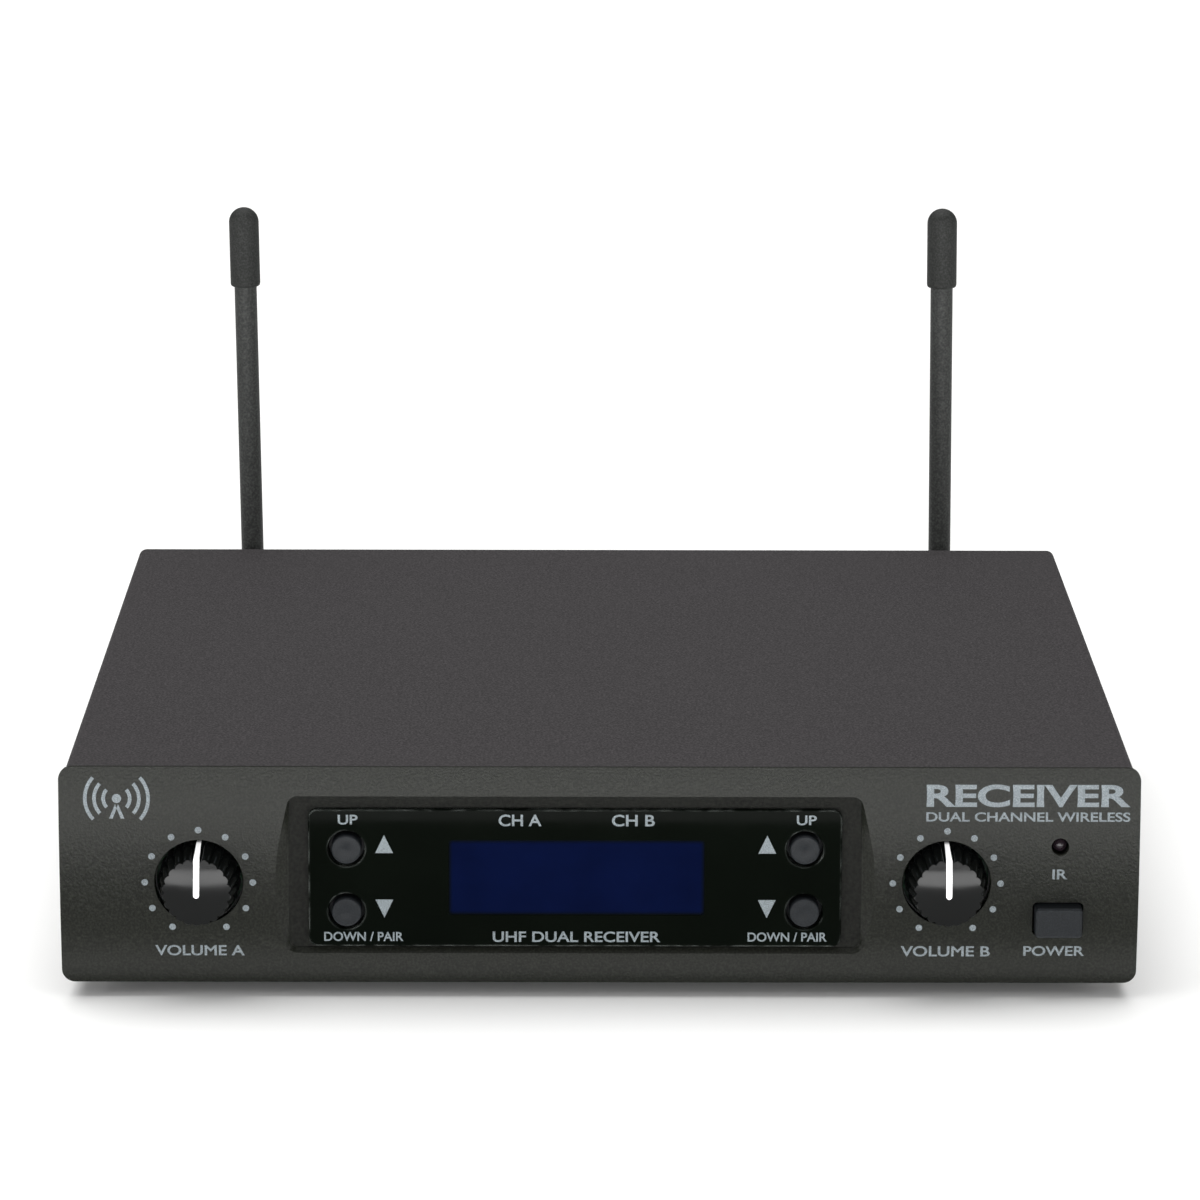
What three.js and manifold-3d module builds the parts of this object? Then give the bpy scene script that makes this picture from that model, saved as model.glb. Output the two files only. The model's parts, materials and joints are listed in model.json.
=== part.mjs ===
// A half-rack, one-unit, two-channel wireless microphone receiver: a steel tray and wrap-over cover behind a
// moulded front panel, with two volume knobs, four keys, a power button and two folding rod antennas.
//
// Units are millimetres. Inside the file every piece is placed in the case frame: X to the right, Y from the
// front face of the panel towards the back, Z up from the panel's lower edge. The exported group then moves
// the case frame so that the origin is the centre of the footprint, on the surface that the feet stand on.

import * as THREE from "three";
import { mergeVertices } from "three/addons/utils/BufferGeometryUtils.js";
import Module from "manifold-3d";

const wasm = await Module();
wasm.setup();

// ---------------------------------------------------------------- driving dimensions

const GAP = 0.3; // clearance kept between neighbouring pieces
const SHEET = 1.0; // steel sheet of the tray and the cover

const PANEL = { width: 212, height: 44, thickness: 2.2, corner: 2.6, edge: 0.4, bow: 1.2 };
const CASE = { width: 210, depth: 190, top: 43.7, bottom: 0.4, bend: 1.8 };
const FOOT = { x: 86, front: 24, back: 170, height: 3.6, radius: 7 };

// The styled recess in the front panel, with the display window lying on its floor.
const RECESS = {
  left: -60.9, right: 51.3, bottom: 7.3, top: 38.2, corner: 1.6,
  depth: 1.6, wall: 2.2, flare: 2.8, slope: 1.9,
};
const LENS = { left: -57.2, right: 47.6, bottom: 7.6, top: 35.6, corner: 1.7, front: 0.5, back: 1.5 };
const SCREEN = { x: -4.5, z: 21.7, width: 50.4, height: 15.4 };

const KNOB = { face: 6.8, base: 8.05, lobes: 22, lobeDepth: 0.42, out: 7.1, dome: 0.6, in: 4.6, hole: 8.6 };
const SHAFT = { radius: 3.0, flat: 1.6, front: -4.6, back: 9.4 };
const POTS = [
  { channel: "a", x: -78.7, z: 20.8 },
  { channel: "b", x: 68.2, z: 20.8 },
];

const KEY = { radius: 2.9, hole: 3.6, out: 0.4, flange: 4.2, travel: 0.6 };
const KEYS = [
  { name: "up", channel: "a", x: -49.7, z: 27.6 },
  { name: "down", channel: "a", x: -49.7, z: 14.8 },
  { name: "up", channel: "b", x: 40.3, z: 27.6 },
  { name: "down", channel: "b", x: 40.3, z: 14.8 },
];
const POWER = { x: 90.2, z: 13.5, width: 9.3, height: 6.1, out: 3.0, travel: 2.5, stem: 3.0 };
const SENSOR = { x: 90.4, z: 28.3, radius: 1.5, tip: 0.9 };

const CONTROL_BOARD = { front: 12.0, thickness: 1.6, halfWidth: 100.5, bottom: 4.5, top: 39.5 };
const MAIN_BOARD = { halfWidth: 92, front: 68, back: 183, bottom: 6.7, thickness: 1.6 };
const BOARD_TOP = MAIN_BOARD.bottom + MAIN_BOARD.thickness;
const RIBBON = { x: -4.5, width: 24, thickness: 1.0, front: 22.0, header: 74 };
const SHIELD = { x: 58, y: 112, width: 46, depth: 36, height: 9, wall: 0.8 };

const REAR = CASE.depth; // outer face of the tray's back wall
const XLR = {
  z: 22, hole: 12, barrel: 11.7, nose: 1.4, cup: 9.4, cupDepth: 15, flange: 3, width: 26, height: 31,
  pinCircle: 4.2, screwX: 9.8, screwZ: 11.8,
};
const XLRS = [
  { channel: "a", x: -44 },
  { channel: "b", x: -10 },
];
const OUTPUT_SCREW = { head: 2.6, shank: 1.4, length: 6 };
const JACK = { x: 22, z: 22, bore: 3.25, bush: 4.6, out: 4.4 };
const POWER_INLET = { x: 48, width: 9.4, height: 11, bore: 3.1, pin: 1.05 };

const ANTENNA = {
  x: 79.6, z: 32, pivot: 12.5, rodRadius: 2.55, earGap: 5.7, collarRadius: 6,
  capRadius: 3.4, capFrom: 70.8, capTo: 89,
};
const SIDES = [
  { channel: "a", side: -1, lean: -0.8 },
  { channel: "b", side: 1, lean: -0.5 },
];

const COVER_SCREW = { front: 38, back: 152, z: 9, head: 2.7, shank: 1.4 };

// ---------------------------------------------------------------- materials

function finish(color, roughness, metalness) {
  return new THREE.MeshStandardMaterial({ color, roughness, metalness });
}
const MATERIALS = {
  coverPaint: finish(0x464445, 0.55, 0.2),
  panelPaint: finish(0x3f403d, 0.5, 0.15),
  bareSteel: finish(0xb4b6b8, 0.35, 0.9),
  blackScrew: finish(0x1c1c1e, 0.4, 0.7),
  smokedAcrylic: finish(0x0c0e0c, 0.08, 0.0),
  keyPlastic: finish(0x2f3233, 0.45, 0.0),
  knobPlastic: finish(0x151617, 0.28, 0.0),
  antennaPlastic: finish(0x2b2c2c, 0.5, 0.0),
  rubber: finish(0x161616, 0.85, 0.0),
  circuitBoard: finish(0x1e5a34, 0.5, 0.0),
  blackPlastic: finish(0x141414, 0.45, 0.0),
  displayGlass: finish(0x0b1432, 0.1, 0.0),
  sensorResin: finish(0x1a1518, 0.1, 0.0),
  nickel: finish(0xc8c6c0, 0.25, 1.0),
  ribbonGrey: finish(0x9a9c9e, 0.6, 0.0),
  coaxBrown: finish(0x5a3c24, 0.5, 0.0),
};

// ---------------------------------------------------------------- shape helpers

// A closed three.js geometry as a manifold solid, whichever way its faces point.
function solid(geometry) {
  const bare = geometry.index ? geometry.toNonIndexed() : geometry.clone();
  bare.deleteAttribute("normal");
  bare.deleteAttribute("uv");
  const merged = mergeVertices(bare, 1e-4);
  const index = merged.index.array;
  const triangles = [];
  for (let i = 0; i < index.length; i += 3) {
    const [a, b, c] = [index[i], index[i + 1], index[i + 2]];
    if (a !== b && b !== c && c !== a) triangles.push(a, b, c);
  }
  const build = (order) =>
    new wasm.Manifold(
      new wasm.Mesh({
        numProp: 3,
        vertProperties: merged.attributes.position.array,
        triVerts: new Uint32Array(order),
      }),
    );
  const made = build(triangles);
  return made.volume() >= 0 ? made : build(triangles.reverse());
}

// A manifold solid as a three.js geometry.
function geometryOf(manifold) {
  const mesh = manifold.getMesh();
  return new THREE.BufferGeometry()
    .setAttribute("position", new THREE.BufferAttribute(mesh.vertProperties, 3))
    .setIndex(new THREE.BufferAttribute(mesh.triVerts, 1));
}

function node(name, shape, material) {
  const mesh = new THREE.Mesh(geometryOf(shape), material);
  mesh.geometry.computeVertexNormals();
  mesh.name = name;
  return mesh;
}

// Low and high bounds of a length centred on a coordinate, and of a wall that starts on a face.
const around = (centre, half) => [centre - half, centre + half];
const between = (first, second) => [Math.min(first, second), Math.max(first, second)];

const join = (...shapes) => shapes.reduce((all, next) => all.add(next));
const cut = (body, ...tools) => tools.reduce((all, tool) => all.subtract(tool), body);

// Box from its low and high bounds.
function box([x0, x1], [y0, y1], [z0, z1]) {
  const g = new THREE.BoxGeometry(x1 - x0, y1 - y0, z1 - z0);
  return solid(g.translate((x0 + x1) / 2, (y0 + y1) / 2, (z0 + z1) / 2));
}

// Cylinders along each axis, from one coordinate to another on that axis.
function cylinderY(x, z, radius, y0, y1, sides = 24) {
  const g = new THREE.CylinderGeometry(radius, radius, y1 - y0, sides);
  return solid(g.translate(x, (y0 + y1) / 2, z));
}
function cylinderX(y, z, radius, x0, x1, sides = 16) {
  const g = new THREE.CylinderGeometry(radius, radius, x1 - x0, sides).rotateZ(Math.PI / 2);
  return solid(g.translate((x0 + x1) / 2, y, z));
}
function cylinderZ(x, y, radius, z0, z1, sides = 16) {
  const g = new THREE.CylinderGeometry(radius, radius, z1 - z0, sides).rotateX(Math.PI / 2);
  return solid(g.translate(x, y, (z0 + z1) / 2));
}

// Solid of revolution about the Y axis through the origin; each profile point is [radius, y].
function turnedY(profile, sides) {
  return solid(new THREE.LatheGeometry(profile.map(([r, y]) => new THREE.Vector2(r, y)), sides));
}

// Solid of revolution about the Z axis through the origin; each profile point is [radius, z].
function turnedZ(profile, sides) {
  const g = new THREE.LatheGeometry(profile.map(([r, z]) => new THREE.Vector2(r, z)), sides);
  return solid(g.rotateX(Math.PI / 2));
}

// Plate: an outline in X and Z, given thickness in Y.
function plateY(shape, y0, y1, curveSegments = 4, bevel = 0) {
  const g = new THREE.ExtrudeGeometry(shape, {
    depth: y1 - y0 - 2 * bevel,
    curveSegments,
    bevelEnabled: bevel > 0,
    bevelThickness: bevel,
    bevelSize: bevel,
    bevelOffset: -bevel,
    bevelSegments: 1,
  });
  return solid(g.rotateX(Math.PI / 2).translate(0, y1 - bevel, 0));
}

function roundedRectangle(left, right, bottom, top, radius) {
  const s = new THREE.Shape();
  s.absarc(left + radius, bottom + radius, radius, Math.PI, 1.5 * Math.PI);
  s.absarc(right - radius, bottom + radius, radius, 1.5 * Math.PI, 2 * Math.PI);
  s.absarc(right - radius, top - radius, radius, 0, 0.5 * Math.PI);
  s.absarc(left + radius, top - radius, radius, 0.5 * Math.PI, Math.PI);
  s.closePath();
  return s;
}

// Solid through several outlines of equally many points, each outline in X and Z at its own Y.
function loft(...rings) {
  const count = rings[0].outline.length;
  const points = rings.flatMap(({ outline, y }) => outline.map((p) => [p.x, y, p.y]));
  const index = [];
  for (let ring = 0; ring < rings.length - 1; ring++) {
    const start = ring * count;
    for (let i = 0; i < count; i++) {
      const j = (i + 1) % count;
      index.push(start + i, start + j, start + count + i, start + j, start + count + j, start + count + i);
    }
  }
  const last = (rings.length - 1) * count;
  for (const [a, b, c] of THREE.ShapeUtils.triangulateShape(rings[0].outline, [])) {
    index.push(c, b, a, last + a, last + b, last + c);
  }
  const g = new THREE.BufferGeometry()
    .setAttribute("position", new THREE.BufferAttribute(new Float32Array(points.flat()), 3))
    .setIndex(index);
  return solid(g);
}

// Round tube along a smooth curve through the given points.
function tube(points, radius, sides, steps) {
  const section = new THREE.Shape().absarc(0, 0, radius, 0, 2 * Math.PI);
  const path = new THREE.CatmullRomCurve3(points.map((p) => new THREE.Vector3(...p)));
  const settings = { steps, curveSegments: sides, bevelEnabled: false, extrudePath: path };
  return solid(new THREE.ExtrudeGeometry(section, settings));
}

// ---------------------------------------------------------------- front panel and display window

// Outline of the recess at a depth below the front face: its sides flare outwards and its lower wall slopes.
function recessOutline(depth) {
  const { left, right, bottom, top, corner, flare, slope } = RECESS;
  const sideSteps = 6;
  const base = roundedRectangle(left, right, bottom, top, corner).getPoints(3);
  const middle = (left + right) / 2;
  const outline = [];
  base.forEach((p, i) => {
    const q = base[(i + 1) % base.length];
    outline.push(p);
    const isSide = Math.abs(p.x - q.x) < 1e-6 && Math.abs(p.y - q.y) > corner;
    if (!isSide) return;
    for (let k = 1; k < sideSteps; k++) outline.push(p.clone().lerp(q, k / sideSteps));
  });
  const spread = 1 - depth / RECESS.depth;
  return outline
    .filter((p, i) => p.distanceTo(outline[(i + 1) % outline.length]) > 1e-6)
    .map((p) => {
      const t = (p.y - bottom) / (top - bottom);
      const side = p.x < middle ? -1 : 1;
      const outwards = side * spread * flare * Math.sin(Math.PI * t);
      return new THREE.Vector2(p.x + outwards, p.y - spread * slope * (1 - t));
    });
}

// Snap hook moulded on the back of the panel, which passes through a slot in the tray's front wall.
const HOOK = { width: 4, thickness: 1.2, barb: 0.7, reach: 6.6 };
const HOOKS = [
  { x: -92, z: 38.5 }, { x: 78, z: 38.5 }, { x: -92, z: 4.2 }, { x: 78, z: 4.2 },
];
function snapHook({ x, z }) {
  const across = around(x, HOOK.width / 2);
  const barbSide = z > PANEL.height / 2 ? 1 : -1;
  const outer = z + (barbSide * HOOK.thickness) / 2;
  return join(
    box(across, [PANEL.thickness - 0.2, HOOK.reach], around(z, HOOK.thickness / 2)),
    box(across, [HOOK.reach - 0.9, HOOK.reach], between(outer, outer + barbSide * HOOK.barb)),
  );
}

const powerHole = (clearance) =>
  roundedRectangle(
    POWER.x - POWER.width / 2 - clearance, POWER.x + POWER.width / 2 + clearance,
    POWER.z - POWER.height / 2 - clearance, POWER.z + POWER.height / 2 + clearance, 0.8,
  );

// How far the bowed front face of the panel lies behind its middle at a height.
const panelSetBack = (z) => PANEL.bow * ((2 * z) / PANEL.height - 1) ** 2;

// All of the space in front of the bowed face.
function frontRelief() {
  const { width, height } = PANEL;
  const past = 1;
  const steps = 8;
  const outline = new THREE.Shape();
  outline.moveTo(-past, -past);
  outline.lineTo(panelSetBack(0), -past);
  for (let i = 0; i <= steps; i += 1) {
    const z = (height * i) / steps;
    outline.lineTo(panelSetBack(z), z);
  }
  outline.lineTo(panelSetBack(height), height + past);
  outline.lineTo(-past, height + past);
  outline.closePath();
  const half = width / 2 + past;
  return plateY(outline, -half, half).rotate([0, 0, 90]);
}

function frontPanel() {
  const { width, height, thickness, corner, edge } = PANEL;
  const face = roundedRectangle(-width / 2, width / 2, 0, height, corner);
  const plate = cut(plateY(face, 0, thickness, 3, edge), frontRelief());
  const { left, right, bottom, top, depth, wall } = RECESS;
  const margin = 1.8;
  const backingOutline = roundedRectangle(left - margin, right + margin, bottom - margin, top + margin, 2);
  const backing = plateY(backingOutline, thickness - 0.5, depth + wall, 2);
  const past = 0.5;
  const recess = loft(
    { outline: recessOutline(-past), y: -past },
    { outline: recessOutline(depth), y: depth },
  );
  const sight = 1;
  const window = box(
    around(SCREEN.x, SCREEN.width / 2 + sight), [1, 5], around(SCREEN.z, SCREEN.height / 2 + sight),
  );
  const knobHoles = POTS.map(({ x, z }) => cylinderY(x, z, KNOB.hole, -1, 5, 28));
  const keyHoles = KEYS.map(({ x, z }) => cylinderY(x, z, KEY.hole, 1, 5, 16));
  const sensorHole = turnedY([[0, -1], [2.6, -1], [1.65, 0.5], [1.65, 4], [0, 4]], 12);
  return cut(
    join(plate, backing, ...HOOKS.map(snapHook)),
    recess, window, ...knobHoles, ...keyHoles,
    plateY(powerHole(0.35), -1, 5, 3),
    sensorHole.translate([SENSOR.x, 0, SENSOR.z]),
  );
}

function displayLens() {
  const { left, right, bottom, top, corner, front, back } = LENS;
  const sheet = plateY(roundedRectangle(left, right, bottom, top, corner), front, back, 3, 0.2);
  return cut(sheet, ...KEYS.map(({ x, z }) => cylinderY(x, z, KEY.hole, 0, 2, 20)));
}

// ---------------------------------------------------------------- sheet-metal case

const TRAY = {
  halfWidth: CASE.width / 2 - SHEET - GAP, frontWall: 4.3, frontTop: 41.4, sideTop: 16,
  backTop: CASE.top - SHEET - GAP,
};
const TRAY_TOP = CASE.bottom + SHEET;
const TRAY_FRONT = TRAY.frontWall + SHEET;

// Folded sheet: floor, full-height front wall, and low side flanges that take the cover screws.
function chassisTray() {
  const { halfWidth, frontWall, frontTop, sideTop } = TRAY;
  const span = [-halfWidth, halfWidth];
  const back = REAR - SHEET;
  const sideSpan = (side) => between(side * (halfWidth - SHEET), side * halfWidth);
  const body = join(
    box(span, [frontWall, back], [CASE.bottom, TRAY_TOP]),
    box(span, [frontWall, TRAY_FRONT], [CASE.bottom, frontTop]),
    ...[-1, 1].map((side) => box(sideSpan(side), [frontWall, back], [CASE.bottom, sideTop])),
  );
  const frontCut = [frontWall - 1, TRAY_FRONT + 1];
  const tapped = COVER_SCREW.shank + GAP;
  const hookSlots = HOOKS.map(({ x, z }) => box(around(x, HOOK.width / 2 + GAP), frontCut, around(z, 1.7)));
  return cut(
    body,
    box([-56, 46.5], frontCut, [8, 35.6]),
    ...POTS.map(({ x, z }) => cylinderY(x, z, KNOB.hole, ...frontCut, 20)),
    plateY(powerHole(0.8), ...frontCut, 3),
    cylinderY(SENSOR.x, SENSOR.z, 2.6, ...frontCut, 10),
    ...hookSlots,
    ...[COVER_SCREW.front, COVER_SCREW.back].map((y) =>
      cylinderX(y, COVER_SCREW.z, tapped, -halfWidth - 1, halfWidth + 1, 8)),
  );
}

// Flat sheet, welded to the back edges of the tray, that carries the connectors and the antennas.
function rearPanel() {
  const backCut = [REAR - SHEET - 1, REAR + 1];
  const inletSpan = around(POWER_INLET.x, POWER_INLET.width / 2 + GAP);
  const screwHole = OUTPUT_SCREW.shank + GAP;
  return cut(
    box([-TRAY.halfWidth, TRAY.halfWidth], [REAR - SHEET, REAR], [CASE.bottom, TRAY.backTop]),
    ...XLRS.map(({ x }) => cylinderY(x, XLR.z, XLR.hole, ...backCut, 20)),
    ...XLRS.map(({ x }) => cylinderY(x + XLR.screwX, XLR.z + XLR.screwZ, screwHole, ...backCut, 8)),
    cylinderY(JACK.x, JACK.z, JACK.bush + GAP, ...backCut, 12),
    box(inletSpan, backCut, [BOARD_TOP, BOARD_TOP + POWER_INLET.height + 2 * GAP]),
    ...SIDES.map(({ side }) => cylinderY(side * ANTENNA.x, ANTENNA.z, 4.5 + GAP, ...backCut, 12)),
  );
}

// The cover's cross-section is an inverted U with rounded bends.
function topCover() {
  const front = PANEL.thickness + 0.2;
  const back = REAR + 0.2;
  const half = CASE.width / 2;
  const hem = CASE.bottom + 0.5;
  const hollow = half - SHEET;
  const outer = roundedRectangle(-half, half, hem - 10, CASE.top, CASE.bend);
  const inner = roundedRectangle(-hollow, hollow, hem - 9, CASE.top - SHEET, CASE.bend - SHEET);
  const below = box([-half - 1, half + 1], [front - 1, back + 1], [hem - 12, hem]);
  const screwHoles = [-1, 1].flatMap((side) =>
    [COVER_SCREW.front, COVER_SCREW.back].map((y) => {
      const xs = between(side * (hollow - 1), side * (half + 1));
      return cylinderX(y, COVER_SCREW.z, COVER_SCREW.head + 0.25, ...xs, 16);
    }));
  return cut(plateY(outer, front, back, 4), plateY(inner, front - 1, back + 1, 4), below, ...screwHoles);
}

// Flush cross-head screw that holds the cover to an ear of the tray.
function coverScrew(side, y) {
  const face = CASE.width / 2;
  const profile = [[0, face], [COVER_SCREW.head, face], [COVER_SCREW.head, face - 0.3],
    [COVER_SCREW.shank, face - 1.2], [COVER_SCREW.shank, face - 6], [0, face - 6]];
  const slotWidth = 0.35;
  const slot = (w, h) => box([face - 0.6, face + 1], [-w, w], [-h, h]);
  const turned = turnedY(profile, 12).rotate([0, 0, -90]);
  const screw = cut(turned, slot(1.5, slotWidth), slot(slotWidth, 1.5));
  const placed = side > 0 ? screw : screw.rotate([0, 0, 180]);
  return placed.translate([0, y, COVER_SCREW.z]);
}

// Rubber foot with a hollow sole around its fixing hole.
function foot(x, y) {
  const { radius, height } = FOOT;
  const top = CASE.bottom - 0.1;
  const sole = CASE.bottom - height;
  const dimple = { radius: 2.6, depth: 1.4 };
  const profile = [
    [0, sole + dimple.depth], [dimple.radius, sole + dimple.depth], [dimple.radius, sole],
    [radius - 1.2, sole], [radius - 0.8, sole + 0.4], [radius, top], [0, top],
  ];
  return turnedZ(profile, 16).translate([x, y, 0]);
}

// ---------------------------------------------------------------- knobs and potentiometers

// Cross-section of a knob: round lobes with sharp valleys between them.
function lobedOutline(radius) {
  const perLobe = 4;
  const count = KNOB.lobes * perLobe;
  return Array.from({ length: count }, (_, i) => {
    const angle = (i / count) * 2 * Math.PI;
    const swing = Math.abs(Math.sin((KNOB.lobes * angle) / 2));
    const r = radius - KNOB.lobeDepth * (1 - swing);
    return new THREE.Vector2(r * Math.cos(angle), r * Math.sin(angle));
  });
}

// Round bar with a flat on its upper side, for the shaft and for the knob's bore.
function flattedBar(radius, flat, y0, y1) {
  const above = box(around(0, radius), [y0 - 1, y1 + 1], [flat, radius + 1]);
  return cut(cylinderY(0, 0, radius, y0, y1, 16), above);
}

function volumeKnob() {
  const face = -KNOB.out;
  const grip = loft(
    { outline: lobedOutline(KNOB.face), y: face + 0.3 },
    { outline: lobedOutline(KNOB.base), y: 0.3 },
    { outline: lobedOutline(KNOB.base), y: KNOB.in },
  );
  const crown = turnedY([
    [0, 0], [KNOB.face - 0.5, 0], [KNOB.face - 0.9, face],
    [4.2, face - 0.4], [2.1, face - 0.55], [0, face - KNOB.dome],
  ], 24);
  const bore = flattedBar(SHAFT.radius + GAP, SHAFT.flat + GAP, SHAFT.front - GAP, KNOB.in + 1);
  return cut(join(grip, crown), bore);
}

function volumeShaft() {
  const flatEnd = KNOB.in + 0.4;
  return join(
    flattedBar(SHAFT.radius, SHAFT.flat, SHAFT.front, flatEnd),
    cylinderY(0, 0, SHAFT.radius, flatEnd - 0.1, SHAFT.back, 16),
  );
}

// Potentiometer: a square case with a short round bush that the shaft turns in.
function potentiometer() {
  const front = 6.9;
  const body = join(
    box([-4.9, 4.9], [front, CONTROL_BOARD.front - 0.2], [-5.5, 5.5]),
    cylinderY(0, 0, 4.4, 5.2, front + 0.2, 16),
  );
  return cut(body, cylinderY(0, 0, SHAFT.radius + GAP, 5, SHAFT.back + GAP, 16));
}

// ---------------------------------------------------------------- keys, power button and sensor

// Key cap with the flange that keeps it behind the window, and the stem that presses its switch.
const KEY_STEM_END = 6.8;
function keyCap() {
  const { radius, out, flange } = KEY;
  return turnedY([
    [0, -out], [radius - 0.35, -out], [radius, -out + 0.35], [radius, 4.1], [flange, 4.1], [flange, 5.1],
    [1.6, 5.1], [1.6, KEY_STEM_END], [0, KEY_STEM_END],
  ], 16);
}

function tactSwitch() {
  const plungerTip = KEY_STEM_END + KEY.travel + 0.1;
  return join(
    box([-3, 3], [8.6, CONTROL_BOARD.front - 0.2], [-3, 3]),
    cylinderY(0, 0, 1.7, plungerTip, 8.8, 10),
  );
}

function powerButton() {
  const { width, height, out, stem } = POWER;
  return join(
    plateY(roundedRectangle(-width / 2, width / 2, -height / 2, height / 2, 0.6), -out, 3.6, 3, 0.3),
    box([-stem / 2, stem / 2], [3, 8.4], [-stem / 2, stem / 2]),
  );
}

function powerSwitch() {
  const { stem } = POWER;
  const body = box(around(0, 4.2), [6.6, CONTROL_BOARD.front - 0.2], around(0, 4.2));
  return cut(body, box(around(0, stem / 2 + GAP), [6, 11.3], around(0, stem / 2 + GAP)));
}

// Infra-red sensor: a domed resin body on a spacer that stands on the control board.
function infraredSensor() {
  const { radius, tip } = SENSOR;
  return turnedY([
    [0, tip], [0.75, tip + 0.2], [1.3, tip + 0.75], [radius, tip + 1.5], [radius, 7], [2.2, 7],
    [2.2, CONTROL_BOARD.front - 0.2], [0, CONTROL_BOARD.front - 0.2],
  ], 10);
}

// ---------------------------------------------------------------- display and boards

const DISPLAY = { halfWidth: 31, halfHeight: 11.8, front: 4.1, back: 11.8, glassBack: 7.4 };
function displayFrame() {
  const { halfWidth, halfHeight, front, back, glassBack } = DISPLAY;
  return cut(
    box([-halfWidth, halfWidth], [front, back], [-halfHeight, halfHeight]),
    box([-26, 26], [front - 1, front + 1], [-8.4, 8.4]),
    box([1 - halfWidth, halfWidth - 1], [front + 0.6, glassBack], [1 - halfHeight, halfHeight - 1]),
  );
}
function displayGlass() {
  const { halfWidth, halfHeight, front, glassBack } = DISPLAY;
  return box(
    [1 + GAP - halfWidth, halfWidth - 1 - GAP], [front + 0.6 + 0.2, glassBack - 0.2],
    [1 + GAP - halfHeight, halfHeight - 1 - GAP],
  );
}

// Flat ribbon between the box headers of the two boards, bent down and then along the case.
const RIBBON_LOW = 15.5;
function ribbonCable() {
  const { width, thickness, header } = RIBBON;
  const start = CONTROL_BOARD.front + CONTROL_BOARD.thickness + 6.2;
  const route = [
    [start, 22], [start + 3, 21.8], [start + 9, 18], [start + 20, RIBBON_LOW - 2],
    [header - 24, RIBBON_LOW - 1], [header - 10, RIBBON_LOW + 5],
    [header - 2, RIBBON_LOW + 6], [header, RIBBON_LOW + 3],
  ];
  const lead = new THREE.CatmullRomCurve3(route.map(([y, z]) => new THREE.Vector3(y, z, 0)));
  const steps = 14;
  const upper = [];
  const lower = [];
  for (let i = 0; i <= steps; i++) {
    const p = lead.getPoint(i / steps);
    const along = lead.getTangent(i / steps);
    const normal = new THREE.Vector2(-along.y, along.x).multiplyScalar(thickness / 2);
    upper.push(new THREE.Vector2(p.x + normal.x, p.y + normal.y));
    lower.unshift(new THREE.Vector2(p.x - normal.x, p.y - normal.y));
  }
  const section = new THREE.Shape([...upper, ...lower]);
  const g = new THREE.ExtrudeGeometry(section, { depth: width, bevelEnabled: false });
  g.rotateY(Math.PI / 2).rotateX(Math.PI / 2);
  return solid(g).translate([RIBBON.x - width / 2, 0, 0]);
}

// Each board stands on four spacers pressed into its corners.
const FRONT_SPACER = { x: 97.8, low: 8.2, high: 35.8, radius: 2.1 };
const FLOOR_SPACER = { x: 84, front: 78, back: 150, radius: 3 };

function controlBoard() {
  const { front, thickness, halfWidth, bottom, top } = CONTROL_BOARD;
  const { x, low, high, radius } = FRONT_SPACER;
  const back = front + thickness;
  const headerSpan = around(RIBBON.x, RIBBON.width / 2 + 2);
  const spacer = (side, z) => cylinderY(side * x, z, radius, TRAY_FRONT, front + 0.2, 8);
  return join(
    box(around(0, halfWidth), [front, back], [bottom, top]),
    box(headerSpan, [back - 0.2, back + 6], [18.5, 25.5]),
    ...[-1, 1].flatMap((side) => [spacer(side, low), spacer(side, high)]),
  );
}

function mainBoard() {
  const { halfWidth, front, back, bottom } = MAIN_BOARD;
  const { x, radius } = FLOOR_SPACER;
  const headerSpan = around(RIBBON.x, RIBBON.width / 2 + 2);
  const spacer = (side, y) => cylinderZ(side * x, y, radius, TRAY_TOP, bottom + 0.2, 8);
  return join(
    box(around(0, halfWidth), [front, back], [bottom, BOARD_TOP]),
    box(headerSpan, around(RIBBON.header, 3.5), [BOARD_TOP - 0.2, RIBBON_LOW + 2.4]),
    ...[-1, 1].flatMap((side) => [spacer(side, FLOOR_SPACER.front), spacer(side, FLOOR_SPACER.back)]),
  );
}

// Pressed tin can over one radio module, open underneath.
function radioShield(side) {
  const { x, y, width, depth, height, wall } = SHIELD;
  const xs = [side * x - width / 2, side * x + width / 2];
  const ys = [y - depth / 2, y + depth / 2];
  const base = BOARD_TOP + 0.1;
  return cut(
    box(xs, ys, [base, base + height]),
    box([xs[0] + wall, xs[1] - wall], [ys[0] + wall, ys[1] - wall], [base - 1, base + height - wall]),
  );
}

// ---------------------------------------------------------------- rear connectors

// Three-pin output socket: a flange behind the wall, a nose through it and a cup that the plug enters.
const XLR_MOUTH = REAR + XLR.nose;
const XLR_FACE = XLR_MOUTH - XLR.cupDepth;
const INSERT_DEPTH = 5.7;
function xlrShell() {
  const { barrel, cup, flange, width, height, screwX, screwZ } = XLR;
  const flangeBack = REAR - SHEET - 0.2;
  const sleeveEnd = XLR_FACE - INSERT_DEPTH - 4;
  const outline = roundedRectangle(-width / 2, width / 2, -height / 2, height / 2, 2);
  const plate = plateY(outline, flangeBack - flange, flangeBack, 2);
  return cut(
    join(plate, cylinderY(0, 0, barrel, sleeveEnd, XLR_MOUTH, 24)),
    cylinderY(0, 0, cup, XLR_FACE - INSERT_DEPTH - 0.3, XLR_MOUTH + 1, 24),
    cylinderY(0, 0, 7, sleeveEnd - 1, XLR_FACE, 10),
    cylinderY(screwX, screwZ, OUTPUT_SCREW.shank + GAP, flangeBack - flange - 1, flangeBack + 1, 8),
  );
}

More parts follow.
